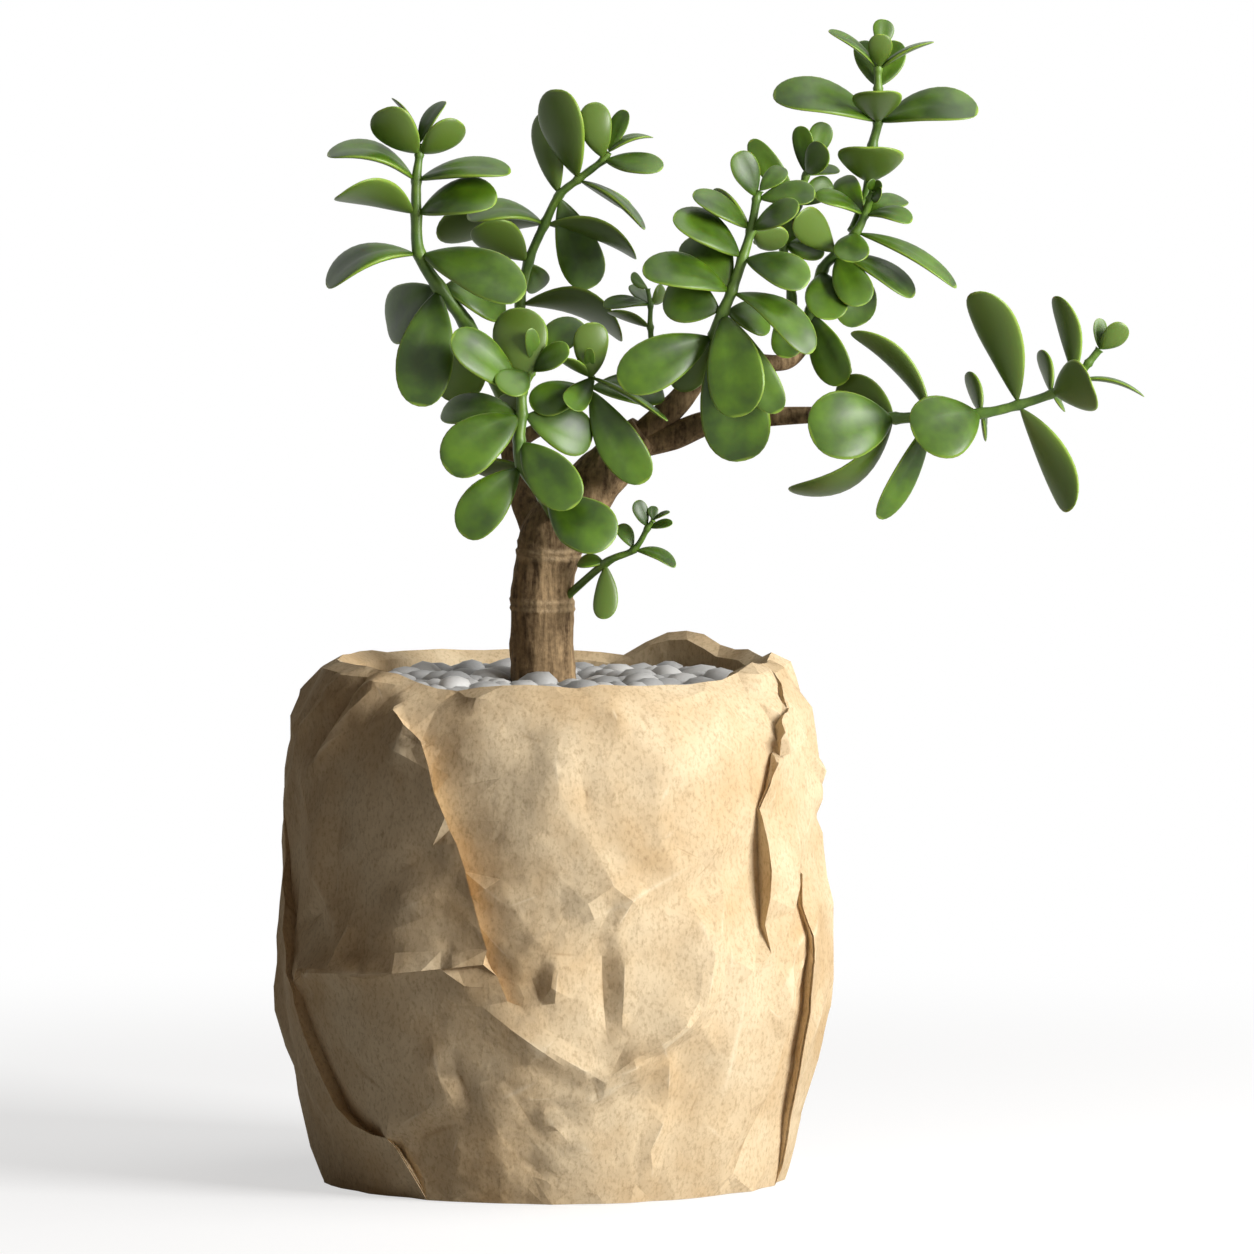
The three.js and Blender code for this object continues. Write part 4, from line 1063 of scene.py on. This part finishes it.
FRONT_CREASES = [Crease(*row) for row in (
    (-89, 157, -86, 15, 10, 2.0), (-65, 147, 57, 13, 7, 1.8), (-75, 174, -79, 10, 5, 1.2),
    (-96, 167, -20, 12, 6, -1.6), (-71, 112, 26, 55, 8, 2.4), (-75, 105, 63, 11, 5, 2.4),
    (-79, 78, -87, 19, 6, -2.6), (-75, 81, 88, 14, 5, 1.6), (-58, 98, -70, 13, 8, 2.2),
    (-89, 81, 85, 11, 6, 2.4), (-93, 77, -67, 9, 5, -1.8), (-53, 100, 75, 17, 6, 2.4),
    (-57, 79, 79, 14, 6, 2.6), (-64, 61, 41, 17, 6, 2.6), (-74, 49, 25, 13, 6, 2.2),
    (-84, 50, -31, 14, 6, 2.2), (-94, 59, -36, 18, 7, 2.6), (-64, 45, -80, 12, 6, 2.6),
    (-65, 26, 68, 12, 6, 2.6), (-66, 12, -79, 8, 5, 1.8), (-78, 42, 20, 26, 6, 1.8),
    (-90, 30, -51, 8, 5, 1.8), (-110, 45, -66, 12, 6, -2.8), (-97, 42, 27, 17, 8, 1.8),
    (-118, 25, 21, 23, 8, -2.4), (-82, 20, -35, 12, 6, 1.6), (-97, 18, -47, 12, 7, -1.8),
    (-48, 55, 83, 51, 10, 1.6), (-40, 19, 63, 19, 6, -2.6), (-136, 81, 5, 55, 7, 3.0),
    (-150, 159, 34, 30, 8, 2.4), (-148, 107, -53, 28, 7, 2.4), (-151, 170, 56, 23, 5, -2.4),
    (-162, 169, 33, 20, 5, 2.2), (-141, 183, 27, 15, 5, 2.0), (-130, 182, 44, 9, 5, -2.0),
    (-125, 166, 80, 10, 6, 1.8), (-125, 161, -23, 13, 6, 1.8), (-173, 157, 56, 21, 5, -2.2),
    (-122, 120, 30, 17, 8, -2.2), (-120, 107, 23, 14, 6, 1.8), (-155, 31, -45, 24, 7, 2.0),
    (-123, 9, -64, 10, 6, 1.8), (-29, 172, -49, 13, 5, 1.8), (-16, 159, -50, 21, 5, -2.0),
    (-26, 127, -84, 16, 5, 2.0), (-24, 105, 68, 15, 5, -2.0), (-68, 173, -69, 11, 6, -1.2),
    (-82, 144, -73, 15, 8, -1.4), (-63, 134, 35, 15, 7, 1.2), (-93, 126, -45, 10, 6, 1.2),
    (-103, 112, -34, 11, 6, 1.4), (-146, 181, 44, 13, 4, -2.6), (-119, 183, -27, 13, 5, -2.6),
    (-106, 182, 27, 11, 5, 2.4), (-145, 169, 51, 24, 5, 2.8), (-156, 181, 30, 18, 4, 2.4),
    (-167, 169, 36, 26, 4, -2.2), (-143, 130, 83, 26, 9, -2.4), (-155, 98, 23, 11, 5, -3.0),
    (-139, 94, 72, 11, 5, 2.4), (-115, 51, -83, 13, 8, 1.8), (-135, 42, -26, 26, 8, -1.8),
    (-22, 174, -39, 17, 4, -2.6), (-32, 165, -66, 17, 4, 2.6), (-9, 150, -42, 21, 4, 2.4),
    (-7, 130, -36, 15, 5, -2.4), (-33, 74, 75, 20, 6, 2.2), (-16, 59, 55, 25, 6, 2.0),
)]


@dataclass
class CrumpledWrap:
    """The kraft sheet: the folds of the frame's own sheet, with finer creases cut into it.

    Attributes:
        radius: Mean radius of the wall, for placing the creases.
        span: Heights between which the other creases' middles lie.
        inside: Radius of the tucked part, and how far from it the creases are at full height.
        foot: Height of the flat underside, and how far above it the creases are at full height.
        seed: Sets where the other creases fall.
        sharp: Angle above which a fold is shaded as a sharp crease.
        margin: How far past a crease the sheet is cut.
        round_off: How far from its middle a crease still works, as a share of its reach.
        slants: Slopes that the other creases keep near to, in degrees.
        stray: How far their turns and their slopes stray, in degrees.
        front: Where the front begins and ends round the wrap, in degrees.
        fold: Angle from which a bend counts as a fold that is kept, in radians.
        eased: Heights between which the sheet's facets are eased.
        easing: How far each easing step moves a point towards its neighbours, outwards when negative.
        rim_fills: Where folds of the sheet raise the rim, as turn and spread in degrees, and the rise.
        rim_from: Height from which they do, and how far above it they do so fully.
    """

    radius: float = 94.0
    span: tuple[float, float] = (4.0, 182.0)
    inside: tuple[float, float] = (77.0, 3.0)
    foot: tuple[float, float] = (0.9, 8.0)
    seed: int = 5
    sharp: float = 10.0
    margin: float = 3.0
    round_off: float = 1.3
    slants: tuple[float, ...] = (32.0, -38.0, 78.0)
    stray: tuple[float, float] = (20.0, 16.0)
    front: tuple[float, float] = (-160.0, -36.0)
    fold: float = 1.15
    eased: tuple[float, float] = (3.0, 182.0)
    easing: tuple[float, ...] = (0.6, -0.45, 0.6, -0.45)
    rim_fills: tuple[Point, ...] = ((-115.0, 8.0, 6.5), (46.0, 6.5, 5.0), (67.0, 6.0, -3.5))
    rim_from: tuple[float, float] = (150.0, 14.0)

    def creases(self) -> list[Crease]:
        """The front's own creases, and creases of every size over the rest of the wall."""
        chance = random.Random(self.seed)
        found = list(FRONT_CREASES)
        for size in CreaseSize:
            count, reach, width, lift = size.value
            for number in range(count):
                turn = (number * GOLDEN_TURN + chance.uniform(-self.stray[0], self.stray[0])) % 360 - 180
                slant = chance.gauss(chance.choice(self.slants), self.stray[1])
                crease = Crease(turn, chance.uniform(*self.span), slant, chance.uniform(*reach),
                                chance.uniform(*width), chance.uniform(*lift) * chance.choice((1, -1)))
                if size is CreaseSize.FINE or not self.front[0] < turn < self.front[1]:
                    found.append(crease)
        return found

    def cut(self, bm: BMesh, crease: Crease) -> None:
        """Cuts the sheet along a crease and along both feet of its sides.

        Args:
            bm: The sheet.
            crease: The crease.
        """
        middle, _, across = crease.axes(self.radius)
        spot = middle * MM
        reach = (crease.reach + self.margin) * MM
        verts = [vert for vert in bm.verts if (vert.co - spot).length_squared < reach * reach]
        faces = dict.fromkeys(face for vert in verts for face in vert.link_faces)
        edges = dict.fromkeys(edge for face in faces for edge in face.edges)
        corners = dict.fromkeys(vert for face in faces for vert in face.verts)
        parts = [*corners, *edges, *faces]
        for foot in (0.0, crease.width, -crease.width):
            parts = bmesh.ops.bisect_plane(bm, geom=parts, dist=CUT_DISTANCE, plane_no=across,
                                           plane_co=(middle + across * foot) * MM)["geom"]

    def ease(self, bm: BMesh) -> None:
        """Eases the wall's small facets into wide panels, keeps its laps, and raises the rim.

        Args:
            bm: The sheet.
        """
        loose = []
        low, high = self.eased
        start, rise = self.rim_from
        for vert in bm.verts:
            level = math.hypot(vert.co.x, vert.co.y) / MM
            bends = [edge.calc_face_angle(0.0) for edge in vert.link_edges]
            if level > self.inside[0] and low < vert.co.z / MM < high and max(bends) < self.fold:
                loose.append(vert)
        for vert in bm.verts:
            turn = math.degrees(math.atan2(vert.co.y, vert.co.x))
            near_rim = min(1.0, max(0.0, (vert.co.z / MM - start) / rise))
            for middle, spread, raised in self.rim_fills:
                vert.co.z += raised * math.exp(-((turn - middle) / spread) ** 2) * near_rim * MM
        for share in self.easing:
            moves = []
            for vert in loose:
                near = [edge.other_vert(vert).co for edge in vert.link_edges]
                moves.append((vert, (sum(near, Vector()) / len(near) - vert.co) * share))
            for vert, move in moves:
                vert.co += move

    def lifted(self, place: Vector,
               creases: list[tuple[Crease, Vector, Vector, Vector]]) -> tuple[float, float, float]:
        """What the creases do to a point of the wall.

        Args:
            place: The point, on the wall's mean radius.
            creases: Each crease with its middle, its direction and the direction across it.

        Returns:
            How far it moves outwards in millimetres, and how near it is to a ridge and to a valley.
        """
        total = ridge = valley = 0.0
        for crease, middle, way, across in creases:
            away = place - middle
            off = abs(away.dot(across))
            along = abs(away.dot(way))
            near = away.length < crease.reach * self.round_off
            if off < crease.width and along < crease.reach and near:
                share = (1 - off / crease.width) * (1 - (along / crease.reach) ** 2)
                total += crease.lift * share
                if crease.lift > 0:
                    ridge = max(ridge, share)
                else:
                    valley = max(valley, share)
        return total, ridge, valley

    def build(self, paper: Material) -> bpy.types.Object:
        """Builds the wrap from a merged copy of the frame's sheet.

        Args:
            paper: Its material.

        Returns:
            The piece.
        """
        bm = bmesh.new()
        bm.from_mesh(bpy.data.objects["paper_wrap"].data)
        # Nearness to ridges and valleys, which the paper's painted highlight and painted shade follow.
        marks = [bm.verts.layers.float.new(name) for name in ("ridge", "valley")]
        bmesh.ops.remove_doubles(bm, verts=bm.verts, dist=MERGE_DISTANCE)
        self.ease(bm)
        creases = self.creases()
        for crease in creases:
            self.cut(bm, crease)
        bmesh.ops.triangulate(bm, faces=bm.faces)
        spans = [(crease, *crease.axes(self.radius)) for crease in creases]
        moves = []
        inside, inner_fade = self.inside
        foot, foot_fade = self.foot
        for vert in bm.verts:
            place = vert.co / MM
            level = Vector((place.x, place.y, 0.0))
            if level.length < inside or place.z < foot:
                continue
            out = level.normalized()
            fade = min(1.0, (place.z - foot) / foot_fade) * min(1.0, (level.length - inside) / inner_fade)
            wall = out * self.radius + Vector((0.0, 0.0, place.z))
            lift, *near = self.lifted(wall, spans)
            moves.append((vert, out * lift * fade * MM))
            for mark, share in zip(marks, near):
                vert[mark] = share
        for vert, move in moves:
            vert.co += move
        piece = finish_piece(bm, "kraft_wrap", [paper], ["paper_wrap"])
        piece.data.set_sharp_from_angle(angle=math.radians(self.sharp))
        return piece


class Side(Enum):
    """Where a studio light stands."""

    KEY = "key"
    FILL = "fill"
    TOP = "top"


@dataclass(frozen=True)
class Lamp:
    """A square soft light aimed at the plant, in metres and watts."""

    side: Side
    place: Point
    size: float
    power: float
    tint: tuple[float, float, float] = (1.0, 1.0, 1.0)

    def hang(self, aim: Vector) -> None:
        """Adds the light to the scene.

        Args:
            aim: The point that it faces.
        """
        data = bpy.data.lights.new(f"soft_{self.side.value}", "AREA")
        data.size = self.size
        data.energy = self.power
        data.color = self.tint
        lamp = bpy.data.objects.new(data.name, data)
        lamp.location = self.place
        lamp.rotation_euler = (aim - Vector(self.place)).to_track_quat("-Z", "Y").to_euler()
        bpy.context.scene.collection.objects.link(lamp)


@dataclass
class Studio:
    """Pale floor, soft light and the camera at the photograph's angle.

    Attributes:
        aim: The point in the middle of the frame, in metres.
        distance: From the camera to the aim.
        tilt: How far the camera looks down, in degrees.
        view_width: Width of the frame at the aim.
        sensor: Width of the camera's sensor in millimetres.
        far: How far the camera sees.
        floor_drop: How far the floor lies under the pot's foot.
        floor_grey: How much light the floor throws back.
        floor_glow: What the floor near the pot shows beyond that.
        shadow_span: Distances from the pot between which the floor turns plain white.
        ambient: Colour of the even light all round.
    """

    aim: Vector = field(default_factory=lambda: Vector((0.0266, 0.0, 0.1990)))
    distance: float = 5.0
    tilt: float = 4.6
    view_width: float = 0.4514
    sensor: float = 36.0
    far: float = 50.0
    floor_half: float = 12.0
    floor_drop: float = 0.0002
    floor_grey: float = 0.42
    floor_glow: float = 0.62
    shadow_span: tuple[float, float] = (0.3, 0.75)
    ambient: Point = (0.05, 0.036, 0.024)
    lamps: tuple[Lamp, ...] = (
        Lamp(Side.KEY, (1.5, -0.94, 0.75), 0.8, 53.0),
        Lamp(Side.FILL, (1.3, -2.0, 0.9), 1.2, 2.6, (1.0, 0.7, 0.44)),
        Lamp(Side.TOP, (0.7, 0.1, 1.9), 1.1, 12.0),
    )

    def set_camera(self) -> None:
        """Adds the camera."""
        data = bpy.data.cameras.new("studio_camera")
        data.sensor_width = self.sensor
        data.lens = data.sensor_width * self.distance / self.view_width
        data.clip_end = self.far
        camera = bpy.data.objects.new("studio_camera", data)
        tilt = math.radians(self.tilt)
        camera.location = self.aim + Vector((0, -math.cos(tilt), math.sin(tilt))) * self.distance
        camera.rotation_euler = (self.aim - camera.location).to_track_quat("-Z", "Y").to_euler()
        bpy.context.scene.collection.objects.link(camera)
        bpy.context.scene.camera = camera

    def lay_floor(self) -> None:
        """Adds the pale floor, which keeps the plant's shadow."""
        bm = bmesh.new()
        bmesh.ops.create_grid(bm, x_segments=1, y_segments=1, size=self.floor_half)
        mesh = bpy.data.meshes.new("studio_floor")
        bm.to_mesh(mesh)
        bm.free()
        floor = bpy.data.objects.new("studio_floor", mesh)
        floor.location.z = -self.floor_drop
        finish = Finish("studio_paint_matt", {"Base Color": (*[self.floor_grey] * 3, 1.0),
                                              "Roughness": 1.0, "Specular IOR Level": 0.0})
        tree = finish.tree
        seen = background_rays(tree)
        glow = add(tree, "ShaderNodeEmission", links={"Strength": seen},
                   values={"Color": (*[self.floor_glow] * 3, 1.0)})
        near = add(tree, "ShaderNodeAddShader", links={0: finish.shader.outputs[0], 1: glow.outputs[0]})
        white = add(tree, "ShaderNodeEmission", values={"Color": WHITE})
        away = add(tree, "ShaderNodeVectorMath", {"operation": "LENGTH"}, {0: finish.place})
        far = finish.limits(away.outputs["Value"], self.shadow_span, 1.0, "SMOOTHSTEP")
        shown = add(tree, "ShaderNodeMath", {"operation": "MULTIPLY"}, {0: far, 1: seen})
        both = add(tree, "ShaderNodeMixShader",
                   links={0: shown.outputs["Value"], 1: near.outputs[0], 2: white.outputs[0]})
        tree.links.new(both.outputs[0], tree.nodes["Material Output"].inputs["Surface"])
        mesh.materials.append(finish.material)
        bpy.context.scene.collection.objects.link(floor)

    def set_world(self) -> None:
        """Sets even light all round, and white where the camera sees past the floor."""
        world = bpy.data.worlds.new("studio_world")
        world.use_nodes = True
        tree = world.node_tree
        glow = add(tree, "ShaderNodeMix", {"data_type": "RGBA"}, {0: background_rays(tree)},
                   {6: (*self.ambient, 1.0), 7: WHITE})
        tree.links.new(glow.outputs[2], tree.nodes["Background"].inputs["Color"])
        bpy.context.scene.world = world

    def build(self) -> None:
        """Builds the whole studio."""
        self.set_camera()
        self.lay_floor()
        self.set_world()
        for lamp in self.lamps:
            lamp.hang(self.aim)
        bpy.context.scene.view_settings.view_transform = "Standard"


def dress_node(node: str, material: Material) -> None:
    """Gives a CAD node that stays its finished material.

    Args:
        node: The node's name.
        material: The material.
    """
    for slot in bpy.data.objects[node].material_slots:
        slot.material = material
    log.info("%s: dressed in %s", node, material.name)


def main() -> None:
    """Builds the plant and its studio in order."""
    logging.basicConfig(level=logging.INFO, format="%(message)s")
    Studio().build()
    leaf = JadeLeaf().material()
    stem = GreenStem().material()
    CrumpledWrap().build(KraftPaper().material())
    PebbleDressing().build(RiverPebble().material())
    WoodyTrunk().build(Bark().material())
    for shoot in SHOOTS:
        shoot.build(leaf, stem)
    dress_node("nursery_pot", PotPlastic().material())
    dress_node("potting_soil", PottingMix().material())


if __name__ == "__main__":
    main()
